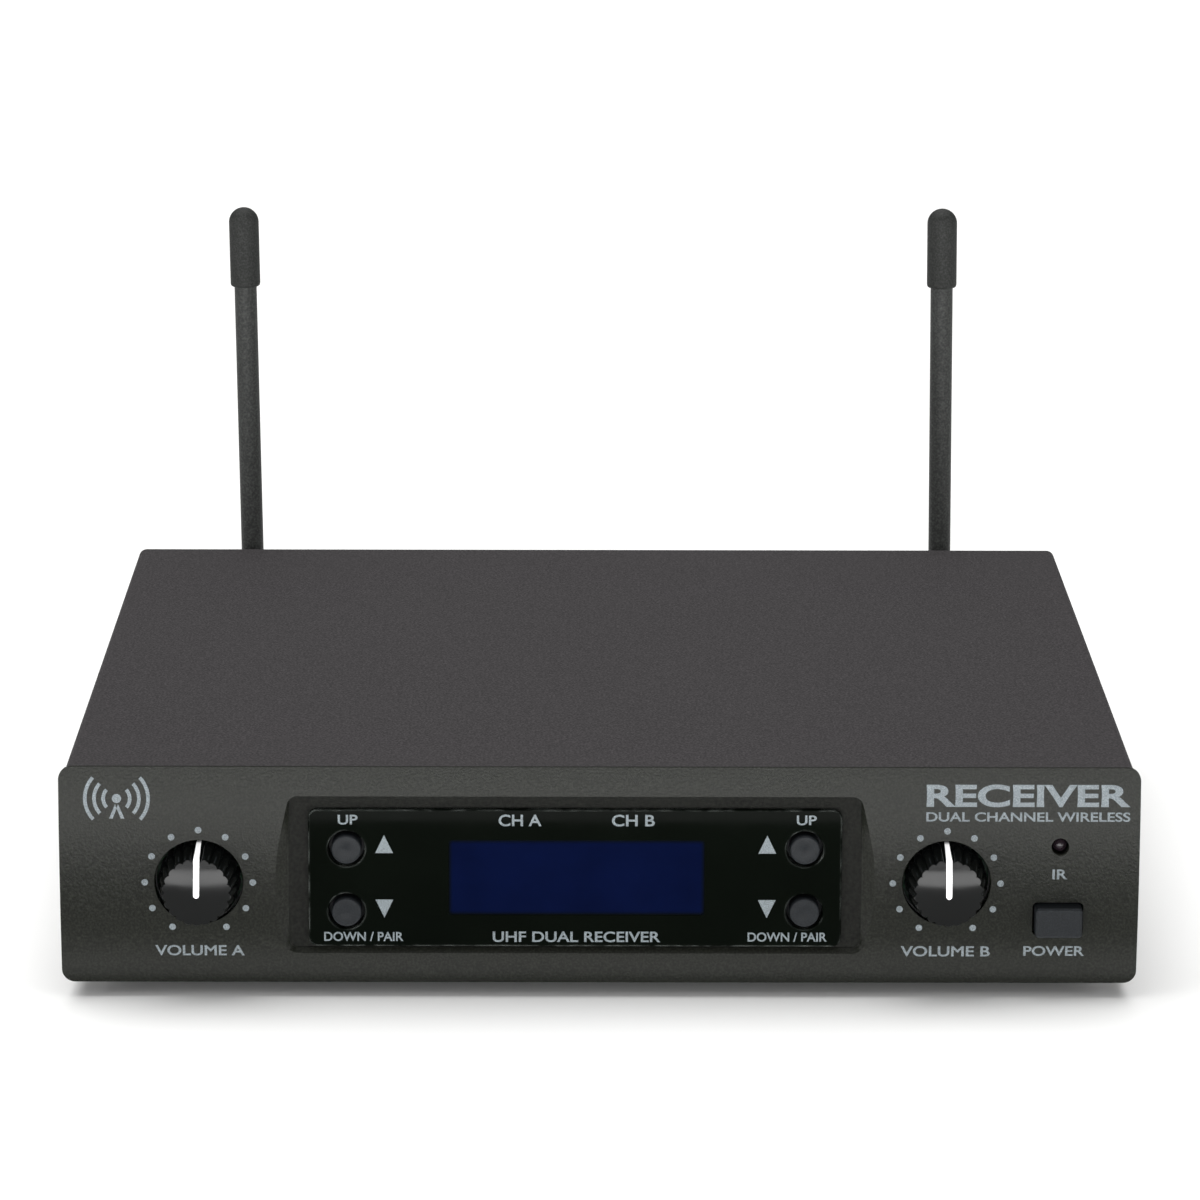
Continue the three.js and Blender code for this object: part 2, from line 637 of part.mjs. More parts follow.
// Pan-head screw that clamps a socket's flange against the wall.
function outputScrew() {
  const { head, shank, length } = OUTPUT_SCREW;
  const seat = REAR + 0.1;
  const turned = turnedY([
    [0, seat - length], [shank, seat - length], [shank, seat], [head, seat],
    [head, seat + 0.8], [head - 0.9, seat + 1.5], [0, seat + 1.5],
  ], 12);
  const slot = (w, h) => box([-w, w], [seat + 0.8, seat + 2], [-h, h]);
  return cut(turned, slot(1.5, 0.35), slot(0.35, 1.5));
}

// Insulator at the bottom of the cup, with the three contact pins and their solder ends.
function xlrInsert() {
  const { cup, pinCircle } = XLR;
  const pin = (degrees) => {
    const a = THREE.MathUtils.degToRad(degrees);
    const x = pinCircle * Math.cos(a);
    const z = pinCircle * Math.sin(a);
    return join(
      cylinderY(x, z, 1.2, XLR_FACE - 1, XLR_FACE + 12, 8),
      cylinderY(x, z, 0.9, XLR_FACE - INSERT_DEPTH - 8, XLR_FACE - 1, 6),
    );
  };
  return join(cylinderY(0, 0, cup - 0.2, XLR_FACE - INSERT_DEPTH, XLR_FACE, 20), pin(150), pin(30), pin(270));
}

function mixJack() {
  const { bore, bush, out } = JACK;
  return cut(
    join(
      box([-8, 8], [REAR - 22, REAR - SHEET - 0.2], [-8.5, 8.5]),
      cylinderY(0, 0, bush, REAR - 2, REAR + out, 16),
    ),
    cylinderY(0, 0, bore, REAR - 20, REAR + out + 1, 16),
  );
}

// Hexagonal nut with a round hole, lying flat against the outside of the back wall.
function panelNut(acrossFlats, hole, height) {
  const g = new THREE.CylinderGeometry(acrossFlats / Math.sqrt(3), acrossFlats / Math.sqrt(3), height, 6);
  const body = solid(g.translate(0, height / 2, 0));
  return cut(body, cylinderY(0, 0, hole, -1, height + 1, 16));
}

function powerInlet() {
  const { width, height, bore, pin } = POWER_INLET;
  const half = width / 2;
  const low = 0.2;
  const middle = low + height / 2;
  return join(
    cut(
      box([-half, half], [REAR - 14, REAR + 0.8], [low, low + height]),
      cylinderY(0, middle, bore, REAR - 9, REAR + 2, 12),
    ),
    cylinderY(0, middle, pin, REAR - 10, REAR, 10),
  );
}

// ---------------------------------------------------------------- antennas, from the back wall's outer face

// Turned socket: a bush through the back wall with a shoulder inside and a bore for the collar's spigot.
function antennaSocket() {
  return turnedY([
    [3.0, -6], [3.0, 3.9], [4.5, 3.9], [4.5, -SHEET - 0.2], [6.2, -SHEET - 0.2], [6.2, -3.2],
    [4.5, -3.2], [4.5, -9], [1.3, -9], [1.3, -6], [3.0, -6],
  ], 16);
}

// Swivel collar: a spigot in the socket, a round base and two ears that hold the hinge pin.
function antennaCollar() {
  const { pivot, earGap, collarRadius } = ANTENNA;
  const earRadius = 4.6;
  const base = turnedY([
    [0, -5], [3.0 - GAP, -5], [3.0 - GAP, 4.2], [collarRadius - 0.5, 4.2],
    [collarRadius, 4.7], [collarRadius, 8.1], [0, 8.1],
  ], 20);
  const ear = (side) => {
    const xs = between(side * (earGap / 2), side * (collarRadius - 0.1));
    return cut(
      join(cylinderX(pivot, 0, earRadius, ...xs, 16), box(xs, [7.5, pivot], [-earRadius, earRadius])),
      cylinderX(pivot, 0, 1.0 + GAP, -9, 9, 10),
    );
  };
  const blank = cylinderY(0, 0, collarRadius, 0, 30, 20);
  return join(base, join(ear(-1), ear(1)).intersect(blank));
}

function hingePin() {
  return cylinderX(ANTENNA.pivot, 0, 1.0, -5.2, 5.2, 10);
}

// Whip: a rounded tang on the hinge pin that runs up into the round rod.
function antennaRod() {
  const { pivot, rodRadius, capTo } = ANTENNA;
  const tangHalf = 2.5;
  const tip = capTo - 5;
  const profile = [[0, 3], [rodRadius, 3], [rodRadius - 0.08, tip], [0, tip]];
  const shaft = turnedZ(profile, 16).translate([0, pivot, 0]);
  const tang = join(
    cylinderX(pivot, 0, 3.7, -tangHalf, tangHalf, 14),
    box([-tangHalf, tangHalf], [pivot - 2.5, pivot + 2.5], [0, 4.5]),
  );
  return cut(join(shaft, tang), cylinderX(pivot, 0, 1.0 + GAP, -9, 9, 10));
}

// Moulded cap over the end of the rod, with a domed top and a small lead-in at its mouth.
function antennaCap() {
  const { pivot, capRadius, capFrom, capTo, rodRadius } = ANTENNA;
  const dome = Array.from({ length: 3 }, (_, i) => {
    const a = ((i + 1) / 4) * (Math.PI / 2);
    return [capRadius * Math.cos(a), capTo - capRadius + capRadius * Math.sin(a)];
  });
  const bore = rodRadius + 0.15;
  const boreTop = capTo - 4.7;
  const profile = [
    [0, boreTop], [bore, boreTop], [bore, capFrom], [capRadius - 0.5, capFrom], [capRadius, capFrom + 0.9],
    [capRadius, capTo - capRadius], ...dome, [0, capTo],
  ];
  return turnedZ(profile, 16).translate([0, pivot, 0]);
}

// Coaxial lead inside the case, from the socket down to the radio module of its channel.
function antennaLead(side) {
  const x = side * ANTENNA.x;
  const canX = side * (SHIELD.x + 12);
  const canBack = SHIELD.y + SHIELD.depth / 2;
  return tube([
    [x, REAR - 9.4, ANTENNA.z], [x, REAR - 14, ANTENNA.z - 0.2], [x + side * 3, REAR - 22, ANTENNA.z - 4],
    [x + side * 6, REAR - 32, ANTENNA.z - 12], [x + side * 4, REAR - 44, 14.5],
    [canX + side * 4, canBack + 8, 12.8], [canX, canBack + 1.4, 12.6],
  ], 1.0, 3, 16);
}

// ---------------------------------------------------------------- assembly

const M = MATERIALS;
const receiver = new THREE.Group();

// Adds a group at a place in the case frame, holding the given nodes, and returns it.
function place([x, y, z], ...parts) {
  const group = new THREE.Group();
  group.position.set(x, y, z);
  group.add(...parts);
  receiver.add(group);
  return group;
}

receiver.add(
  node("chassis_tray", chassisTray(), M.bareSteel),
  node("rear_panel", rearPanel(), M.bareSteel),
  node("top_cover", topCover(), M.coverPaint),
  node("front_panel", frontPanel(), M.panelPaint),
  node("display_lens", displayLens(), M.smokedAcrylic),
  node("control_board", controlBoard(), M.circuitBoard),
  node("main_board", mainBoard(), M.circuitBoard),
  node("ribbon_cable", ribbonCable(), M.ribbonGrey),
);

for (const [corner, x, y] of [
  ["front_left", -FOOT.x, FOOT.front], ["front_right", FOOT.x, FOOT.front],
  ["back_left", -FOOT.x, FOOT.back], ["back_right", FOOT.x, FOOT.back],
]) {
  receiver.add(node("foot_" + corner, foot(x, y), M.rubber));
}

for (const [corner, side, y] of [
  ["front_left", -1, COVER_SCREW.front], ["front_right", 1, COVER_SCREW.front],
  ["back_left", -1, COVER_SCREW.back], ["back_right", 1, COVER_SCREW.back],
]) {
  receiver.add(node("cover_screw_" + corner, coverScrew(side, y), M.blackScrew));
}

for (const { channel, x, z } of POTS) {
  place([x, 0, z],
    node("volume_knob_" + channel, volumeKnob(), M.knobPlastic),
    node("volume_shaft_" + channel, volumeShaft(), M.nickel),
    node("volume_pot_" + channel, potentiometer(), M.blackPlastic),
  );
}

for (const { name, channel, x, z } of KEYS) {
  place([x, 0, z],
    node(`${name}_button_${channel}`, keyCap(), M.keyPlastic),
    node(`${name}_switch_${channel}`, tactSwitch(), M.blackPlastic),
  );
}

place([POWER.x, 0, POWER.z],
  node("power_button", powerButton(), M.keyPlastic),
  node("power_switch", powerSwitch(), M.blackPlastic),
);
place([SENSOR.x, 0, SENSOR.z], node("infrared_sensor", infraredSensor(), M.sensorResin));
place([SCREEN.x, 0, SCREEN.z],
  node("display_frame", displayFrame(), M.bareSteel),
  node("display_glass", displayGlass(), M.displayGlass),
);

for (const { channel, x } of XLRS) {
  place([x, 0, XLR.z],
    node("output_socket_" + channel, xlrShell(), M.blackPlastic),
    node("output_pins_" + channel, xlrInsert(), M.nickel),
  );
  const screw = node("output_screw_" + channel, outputScrew(), M.blackScrew);
  place([x + XLR.screwX, 0, XLR.z + XLR.screwZ], screw);
}
place([JACK.x, 0, JACK.z], node("mix_output_jack", mixJack(), M.blackPlastic));
place([JACK.x, REAR + 0.2, JACK.z], node("mix_output_nut", panelNut(13, JACK.bush + GAP, 2.2), M.nickel));
place([POWER_INLET.x, 0, BOARD_TOP], node("power_inlet", powerInlet(), M.blackPlastic));

for (const { channel, side, lean } of SIDES) {
  receiver.add(
    node("radio_shield_" + channel, radioShield(side), M.bareSteel),
    node("antenna_lead_" + channel, antennaLead(side), M.coaxBrown),
  );
  const antenna = place([side * ANTENNA.x, REAR, ANTENNA.z],
    node("antenna_socket_" + channel, antennaSocket(), M.nickel),
    node("antenna_collar_" + channel, antennaCollar(), M.antennaPlastic),
    node("antenna_pin_" + channel, hingePin(), M.nickel),
    node("antenna_rod_" + channel, antennaRod(), M.antennaPlastic),
    node("antenna_cap_" + channel, antennaCap(), M.rubber),
  );
  antenna.rotation.y = THREE.MathUtils.degToRad(lean);
  const nut = node("antenna_nut_" + channel, panelNut(12, 4.5 + GAP, 2.6), M.nickel);
  place([side * ANTENNA.x, REAR + 0.2, ANTENNA.z], nut);
}

// The footprint runs from the crown of the knobs to the back of the antenna ears.
const frontReach = KNOB.out + KNOB.dome;
const backReach = REAR + ANTENNA.pivot + 4.6;
receiver.position.set(0, (frontReach - backReach) / 2, FOOT.height - CASE.bottom);

export default receiver;
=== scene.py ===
"""Looks of a half-rack, two-channel wireless microphone receiver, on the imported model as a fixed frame.

Geometry is worked out in millimetres in the row frame and turned into metres as each mesh is made.
X runs to the right, Y from the front panel to the antennas, and Z up from the surface under the feet.
"""

import json
from math import atan2, cos, pi, radians, sin, sqrt

import bmesh
import bpy
from mathutils import Matrix, Vector


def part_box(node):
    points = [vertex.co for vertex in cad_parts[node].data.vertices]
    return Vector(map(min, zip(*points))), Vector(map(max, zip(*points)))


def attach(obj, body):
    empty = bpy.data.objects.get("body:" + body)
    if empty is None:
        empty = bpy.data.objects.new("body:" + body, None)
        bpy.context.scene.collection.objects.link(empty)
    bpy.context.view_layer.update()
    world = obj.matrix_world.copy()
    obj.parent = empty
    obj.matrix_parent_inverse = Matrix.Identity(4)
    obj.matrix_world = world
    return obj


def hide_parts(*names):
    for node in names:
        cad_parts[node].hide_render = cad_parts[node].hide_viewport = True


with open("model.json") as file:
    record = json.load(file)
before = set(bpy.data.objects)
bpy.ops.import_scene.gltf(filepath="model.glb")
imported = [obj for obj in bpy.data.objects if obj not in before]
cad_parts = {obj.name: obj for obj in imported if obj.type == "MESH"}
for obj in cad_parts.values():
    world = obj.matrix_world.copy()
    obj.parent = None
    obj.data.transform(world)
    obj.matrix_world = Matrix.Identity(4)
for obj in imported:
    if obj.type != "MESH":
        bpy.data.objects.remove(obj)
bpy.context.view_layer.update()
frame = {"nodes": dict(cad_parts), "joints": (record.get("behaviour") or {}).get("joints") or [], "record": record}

MM = 0.001
JOINTS = {joint["name"]: joint for joint in frame["joints"]}
CHANNELS = ("a", "b")


def span(node):
    """Lowest corner, highest corner and centre of a CAD node, in millimetres."""
    low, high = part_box(node)
    return low / MM, high / MM, (low + high) / (2 * MM)


def middle(node):
    """Centre of a CAD node, in millimetres."""
    return span(node)[2]


def xz(point):
    return point.x, point.z


def around(centre, half):
    """Both ends of a stretch about a centre."""
    return centre - half, centre + half


PANEL_LOW, PANEL_HIGH, PANEL_MID = span("front_panel")
LENS_LOW, LENS_HIGH, _ = span("display_lens")
SCREEN_MID = middle("display_frame")
POWER_LOW, POWER_HIGH, POWER_MID = span("power_button")
SENSOR_MID = middle("infrared_sensor")
FRONT = PANEL_LOW.y
REAR = span("rear_panel")[1].y
KEYS = [(key, channel, f"{key}_button_{channel}") for channel in CHANNELS for key in ("up", "down")]

# ------------ meshes


def placed(name, data):
    """New object in the scene with the given data."""
    obj = bpy.data.objects.new(name, data)
    bpy.context.scene.collection.objects.link(obj)
    return obj


def made_object(bm):
    """The bmesh, in millimetres, as an object in metres with its faces pointing out."""
    bmesh.ops.recalc_face_normals(bm, faces=bm.faces)
    bmesh.ops.scale(bm, vec=(MM, MM, MM), verts=bm.verts)
    mesh = bpy.data.meshes.new("step")
    bm.to_mesh(mesh)
    bm.free()
    return placed("step", mesh)


def loft(rings):
    """Closed solid through rings of equally many points."""
    bm = bmesh.new()
    loops = [[bm.verts.new(point) for point in ring] for ring in rings]
    count = len(loops[0])
    for near, far in zip(loops, loops[1:]):
        for i in range(count):
            j = (i + 1) % count
            bm.faces.new((near[i], near[j], far[j], far[i]))
    bm.faces.new(loops[0][::-1])
    bm.faces.new(loops[-1])
    return made_object(bm)


def lathe(profile, centre, axis="y", count=96):
    """Solid of revolution: profile is (radius, height) pairs from the axis back to the axis."""
    bm = bmesh.new()
    a, b = centre

    def point(radius, height, angle):
        u, v = a + radius * cos(angle), b + radius * sin(angle)
        return {"x": (height, u, v), "y": (u, height, v), "z": (u, v, height)}[axis]

    loops = []
    for radius, height in profile:
        steps = count if radius > 0 else 1
        loops.append([bm.verts.new(point(radius, height, 2 * pi * i / count)) for i in range(steps)])
    for near, far in zip(loops, loops[1:]):
        for i in range(count):
            j = (i + 1) % count
            corners = (near[i % len(near)], near[j % len(near)], far[j % len(far)], far[i % len(far)])
            corners = list(dict.fromkeys(corners))
            if len(corners) > 2:
                bm.faces.new(corners)
    return made_object(bm)


def rod(radius, start, end, centre, axis="y", count=64):
    """Plain bar for cutting or joining."""
    return lathe([(0, start), (radius, start), (radius, end), (0, end)], centre, axis, count)


def rounded(x0, x1, z0, z1, radius, steps=10):
    """Outline of a rounded rectangle as (x, z) points."""
    points = []
    left, right, low, high = x0 + radius, x1 - radius, z0 + radius, z1 - radius
    corners = ((left, low), (right, low), (right, high), (left, high))
    for quarter, (cx, cz) in enumerate(corners):
        for i in range(steps + 1):
            angle = pi * (1 + quarter / 2 + i / steps / 2)
            points.append((cx + radius * cos(angle), cz + radius * sin(angle)))
    return points


def plate(x0, x1, z0, z1, radius, y0, y1, front_edge=0.0, back_edge=0.0, steps=10):
    """Rounded rectangular plate whose front and back edges are rounded over."""
    same = 1e-4
    turns = [pi / 2 * i / 4 for i in range(5)]
    layers = [(front_edge * (1 - sin(t)), y0 + front_edge * (1 - cos(t))) for t in turns]
    layers += [(back_edge * (1 - cos(t)), y1 - back_edge * (1 - sin(t))) for t in turns]
    kept = []
    for inset, y in layers:
        if not kept or abs(y - kept[-1][1]) > same or abs(inset - kept[-1][0]) > same:
            kept.append((inset, y))
    rings = []
    for inset, y in kept:
        outline = rounded(x0 + inset, x1 - inset, z0 + inset, z1 - inset, max(radius - inset, 0.02), steps)
        rings.append([(x, y, z) for x, z in outline])
    return loft(rings)


def block(xs, ys, zs):
    """Plain box for cutting or joining."""
    (x0, x1), (y0, y1), (z0, z1) = xs, ys, zs
    return loft([[(x0, y, z0), (x1, y, z0), (x1, y, z1), (x0, y, z1)] for y in (y0, y1)])


def bake(obj):
    """Applies the object's modifiers to its mesh."""
    graph = bpy.context.evaluated_depsgraph_get()
    mesh = bpy.data.meshes.new_from_object(obj.evaluated_get(graph))
    obj.modifiers.clear()
    obj.data = mesh
    return obj


def combine(base, operation, *tools):
    for tool in tools:
        step = base.modifiers.new("step", "BOOLEAN")
        step.operation = operation
        step.solver = "EXACT"
        step.object = tool
    bake(base)
    for tool in tools:
        bpy.data.objects.remove(tool)
    return base


def cut(base, *tools):
    return combine(base, "DIFFERENCE", *tools)


def join(base, *tools):
    return combine(base, "UNION", *tools)


def bevel(obj, width, segments=3, angle=40):
    step = obj.modifiers.new("edge", "BEVEL")
    step.width = width * MM
    step.segments = segments
    step.limit_method = "ANGLE"
    step.angle_limit = radians(angle)
    step.use_clamp_overlap = True
    return bake(obj)


def gather(objects):
    """Several objects as one, without joining their solids."""
    bm = bmesh.new()
    for obj in objects:
        bm.from_mesh(obj.data)
        bpy.data.objects.remove(obj)
    mesh = bpy.data.meshes.new("step")
    bm.to_mesh(mesh)
    bm.free()
    return placed("step", mesh)


def moved(obj, matrix):
    """The object's mesh moved by a matrix whose lengths are in millimetres."""
    metres = matrix.copy()
    metres.translation = matrix.translation * MM
    obj.data.transform(metres)
    return obj


def shade(mesh, angle=32):
    """Smooth shading that stays sharp where faces meet at more than an angle in degrees."""
    for face in mesh.polygons:
        face.use_smooth = True
    mesh.set_sharp_from_angle(angle=radians(angle))


def piece(obj, name, finish, *nodes, body="case", angle=32):
    """Names a finished object, gives it its material and makes it ride on its body."""
    obj.name = name
    shade(obj.data, angle)
    weighting = obj.modifiers.new("normals", "WEIGHTED_NORMAL")
    weighting.keep_sharp = True
    bake(obj)
    obj.data.name = name
    obj.data.materials.clear()
    obj.data.materials.append(MATERIALS[finish])
    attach(obj, body)
    if nodes:
        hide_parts(*nodes)
    return obj


# ------------ materials


class Shader:
    """A Principled material with short calls for the nodes that feed it."""

    def __init__(self, name, roughness, metallic=0.0, specular=0.5):
        self.material = bpy.data.materials.new(name)
        self.material.use_nodes = True
        self.tree = self.material.node_tree
        self.surface = self.tree.nodes["Principled BSDF"]
        self.surface.inputs["Metallic"].default_value = metallic
        self.surface.inputs["Roughness"].default_value = roughness
        self.surface.inputs["Specular IOR Level"].default_value = specular
        self.place = self.node("TexCoord").outputs["Object"]
        self.roughness = roughness

    def node(self, kind):
        return self.tree.nodes.new("ShaderNode" + kind)

    def link(self, source, target):
        self.tree.links.new(source, target)

    def stretched(self, scale):
        node = self.node("Mapping")
        node.inputs["Scale"].default_value = scale
        self.link(self.place, node.inputs["Vector"])
        return node.outputs["Vector"]

    def noise(self, size, detail=3.0, vector=None):
        """Noise from 0 to 1 whose features are about size millimetres across."""
        node = self.node("TexNoise")
        node.inputs["Scale"].default_value = 1 / (size * MM)
        node.inputs["Detail"].default_value = detail
        self.link(vector or self.place, node.inputs["Vector"])
        return node.outputs["Fac"]

    def ranged(self, value, low, high, from_low=0.3, from_high=0.7):
        node = self.node("MapRange")
        numbers = {"From Min": from_low, "From Max": from_high, "To Min": low, "To Max": high}
        for socket, number in numbers.items():
            node.inputs[socket].default_value = number
        self.link(value, node.inputs["Value"])
        return node.outputs["Result"]

    def patches(self, size, detail):
        """Noise stretched so that much of it is 0 or 1."""
        return self.ranged(self.noise(size, detail), 0.0, 1.0)

    def math(self, operation, first, second=0.0):
        node = self.node("Math")
        node.operation = operation
        for socket, value in zip(node.inputs, (first, second)):
            if isinstance(value, (int, float)):
                socket.default_value = value
            else:
                self.link(value, socket)
        return node.outputs["Value"]

    def mixed(self, factor, first, second):
        node = self.node("Mix")
        node.data_type = "RGBA"
        sockets = {socket.identifier: socket for socket in (*node.inputs, *node.outputs)}
        for name, value in (("A_Color", first), ("B_Color", second)):
            if isinstance(value, tuple):
                sockets[name].default_value = (*value, 1)
            else:
                self.link(value, sockets[name])
        self.link(factor, sockets["Factor_Float"])
        return sockets["Result_Color"]

    def edges(self, radius):
        """Mask that is 1 on sharp outside edges and 0 on flats, broken up by noise."""
        rounding = self.node("Bevel")
        rounding.inputs["Radius"].default_value = radius * MM
        rounding.samples = 4
        plain = self.node("NewGeometry")
        dot = self.node("VectorMath")
        dot.operation = "DOT_PRODUCT"
        self.link(rounding.outputs["Normal"], dot.inputs[0])
        self.link(plain.outputs["Normal"], dot.inputs[1])
        sharp = self.ranged(dot.outputs["Value"], 1.0, 0.0, 0.75, 0.98)
        return self.math("MULTIPLY", sharp, self.ranged(self.noise(2.5, 5), 0.0, 1.0, 0.4, 0.75))

    def colour(self, value):
        self.link(value, self.surface.inputs["Base Color"])

    def rough(self, size, spread):
        value = self.ranged(self.noise(size, 4), max(self.roughness - spread, 0.02), self.roughness + spread)
        self.link(value, self.surface.inputs["Roughness"])

    def bump(self, height, depth, strength=1.0):
        """Bump whose full height is depth millimetres."""
        node = self.node("Bump")
        node.inputs["Distance"].default_value = depth * MM
        node.inputs["Strength"].default_value = strength
        self.link(height, node.inputs["Height"])
        self.link(node.outputs["Normal"], self.surface.inputs["Normal"])


def linear(*display):
    """A colour given as 0 to 255 display values, as linear light."""
    levels = [value / 255 for value in display]
    return tuple(v / 12.92 if v <= 0.04 else ((v + 0.055) / 1.055) ** 2.4 for v in levels)


def tinted(colour, factor):
    return tuple(min(c * factor, 1.0) for c in colour)


def moulded(name, colour, roughness, grain=0.35, depth=0.012, spread=0.08, wear=0.5, specular=0.3):
    """Painted or moulded surface: fine grain, slow colour change and edges rubbed lighter."""
    s = Shader(name, roughness, specular=specular)
    body = s.mixed(s.patches(70, 3), tinted(colour, 1 - spread), tinted(colour, 1 + spread))
    speckled = s.mixed(s.ranged(s.noise(grain, 2), 0.0, 1.0, 0.4, 0.8), body, tinted(colour, 2.6))
    rubbed = s.math("MULTIPLY", s.edges(0.35), wear)
    s.colour(s.mixed(rubbed, speckled, tinted(colour, 2.4)))
    s.rough(60, 0.03)
    s.bump(s.noise(grain, 3), depth)
    return s.material


def glossy(name, colour, roughness, scuff=0.03, specular=0.3):
    """Polished plastic with faint haze and hairline scuffs."""
    s = Shader(name, roughness, specular=specular)
    s.colour(s.mixed(s.patches(14, 3), tinted(colour, 0.85), tinted(colour, 1.2)))
    s.rough(5, scuff)
    s.bump(s.noise(1.6, 4), 0.002, 0.4)
    return s.material


def metal(name, colour, roughness, stretch=(1, 1, 1), line=0.5, depth=0.004, stain=0.15):
    """Bare or plated metal with fine drawn lines along the stretched axis."""
    s = Shader(name, roughness, metallic=1.0)
    lines = s.noise(line, 4, s.stretched(stretch))
    patches = s.patches(24, 4)
    s.colour(s.mixed(patches, tinted(colour, 1 - stain), tinted(colour, 1 + stain / 2)))
    s.link(s.ranged(lines, roughness - 0.06, roughness + 0.1), s.surface.inputs["Roughness"])
    s.bump(lines, depth)
    return s.material


SCREEN_HALF = Vector((25.2, 7.7)) * MM


def window_acrylic():
    """Black printed acrylic with an unprinted area through which the dark blue display shows, and a painted
    highlight on its rounded edges.
    """
    s = Shader("smoked_acrylic", 0.06, specular=0.01)
    axes = s.node("SeparateXYZ")
    s.link(s.place, axes.inputs["Vector"])
    soft, rim = 0.9 * MM, 2 * MM
    masks, near = [], []
    for output, centre, half in (("X", SCREEN_MID.x, SCREEN_HALF.x), ("Z", SCREEN_MID.z, SCREEN_HALF.y)):
        distance = s.math("ABSOLUTE", s.math("SUBTRACT", axes.outputs[output], centre * MM))
        masks.append(s.ranged(distance, 1.0, 0.0, half - soft, half))
        near.append(s.ranged(distance, 1.0, 0.0, half + rim / 2, half + rim))
    inside = s.math("MULTIPLY", *masks)
    away = s.math("SUBTRACT", 1.0, s.math("MULTIPLY", *near))
    black = linear(4, 6, 4)
    blue = linear(3, 8, 33)
    cells = s.mixed(s.patches(11, 3), tinted(blue, 0.82), tinted(blue, 1.12))
    ink = s.mixed(s.patches(20, 4), tinted(black, 0.85), tinted(black, 1.2))
    # Painted highlight: the rounded edges away from the display area are lightened towards pale grey, as if they
    # caught the light from above.
    painted_edge_highlight = s.math("MULTIPLY", s.edges(0.5), away)
    s.colour(s.mixed(painted_edge_highlight, s.mixed(inside, ink, cells), linear(150, 156, 152)))
    s.rough(8, 0.02)
    s.bump(s.noise(2.2, 3), 0.0015, 0.4)
    return s.material


def circuit_board():
    """Green solder mask with copper tracks showing faintly through it."""
    s = Shader("circuit_board", 0.4)
    tracks = s.node("TexVoronoi")
    tracks.inputs["Scale"].default_value = 1 / (3 * MM)
    tracks.distance = "MANHATTAN"
    s.link(s.place, tracks.inputs["Vector"])
    pattern = s.ranged(tracks.outputs["Distance"], 0.0, 1.0, 0.3, 0.45)
    s.colour(s.mixed(pattern, linear(24, 92, 52), linear(16, 66, 38)))
    s.rough(6, 0.06)
    s.bump(pattern, 0.03)
    return s.material


CONDUCTOR_PITCH = 1.27


def ribbed_cable():
    """Flat grey cable whose conductors show as fine ribs."""
    s = Shader("ribbon_grey", 0.5)
    ribs = s.node("TexWave")
    ribs.inputs["Scale"].default_value = 1 / (4 * CONDUCTOR_PITCH * MM)
    s.link(s.place, ribs.inputs["Vector"])
    s.colour(s.mixed(ribs.outputs["Fac"], linear(128, 130, 132), linear(160, 162, 164)))
    s.rough(5, 0.05)
    s.bump(ribs.outputs["Fac"], 0.25)
    return s.material


PANEL_BOW = 1.2


def panel_finish():
    """Satin moulding whose recess, behind the front face, is coarser and more matte, with painted shade making it
    darker.
    """
    colour, grain = linear(18, 19, 16), 0.45
    s = Shader("panel_paint", 0.25, specular=0.078)
    axes = s.node("SeparateXYZ")
    s.link(s.place, axes.inputs["Vector"])
    behind = FRONT + PANEL_BOW + 0.15
    margin, blend = 3, 1
    deep = s.ranged(axes.outputs["Y"], 0.0, 1.0, behind * MM, (behind + 0.15) * MM)
    low_z, high_z = PANEL_LOW.z + margin, PANEL_HIGH.z - margin
    low = s.ranged(axes.outputs["Z"], 0.0, 1.0, low_z * MM, (low_z + blend) * MM)
    high = s.ranged(axes.outputs["Z"], 1.0, 0.0, (high_z - blend) * MM, high_z * MM)
    recess = s.math("MULTIPLY", deep, s.math("MULTIPLY", low, high))
    body = s.mixed(s.patches(70, 3), tinted(colour, 0.96), tinted(colour, 1.04))
    speckled = s.mixed(s.ranged(s.noise(grain, 2), 0.0, 1.0, 0.4, 0.8), body, tinted(colour, 2.4))
    # Painted shade: behind the front face the recess is mixed towards a darker tone than the front face, standing
    # in for the shade under its lip, together with a coarser grain.
    coarse_painted_shade = s.mixed(s.ranged(s.noise(0.7, 3), 0.0, 1.0, 0.35, 0.8), tinted(colour, 0.4), tinted(colour, 1.4))
    textured_with_painted_shade = s.mixed(recess, speckled, coarse_painted_shade)
    s.colour(s.mixed(s.math("MULTIPLY", s.edges(0.35), 0.4), textured_with_painted_shade, tinted(colour, 2.6)))
    s.link(s.ranged(recess, 0.25, 0.62, 0, 1), s.surface.inputs["Roughness"])
    s.bump(s.noise(grain, 3), 0.06)
    return s.material


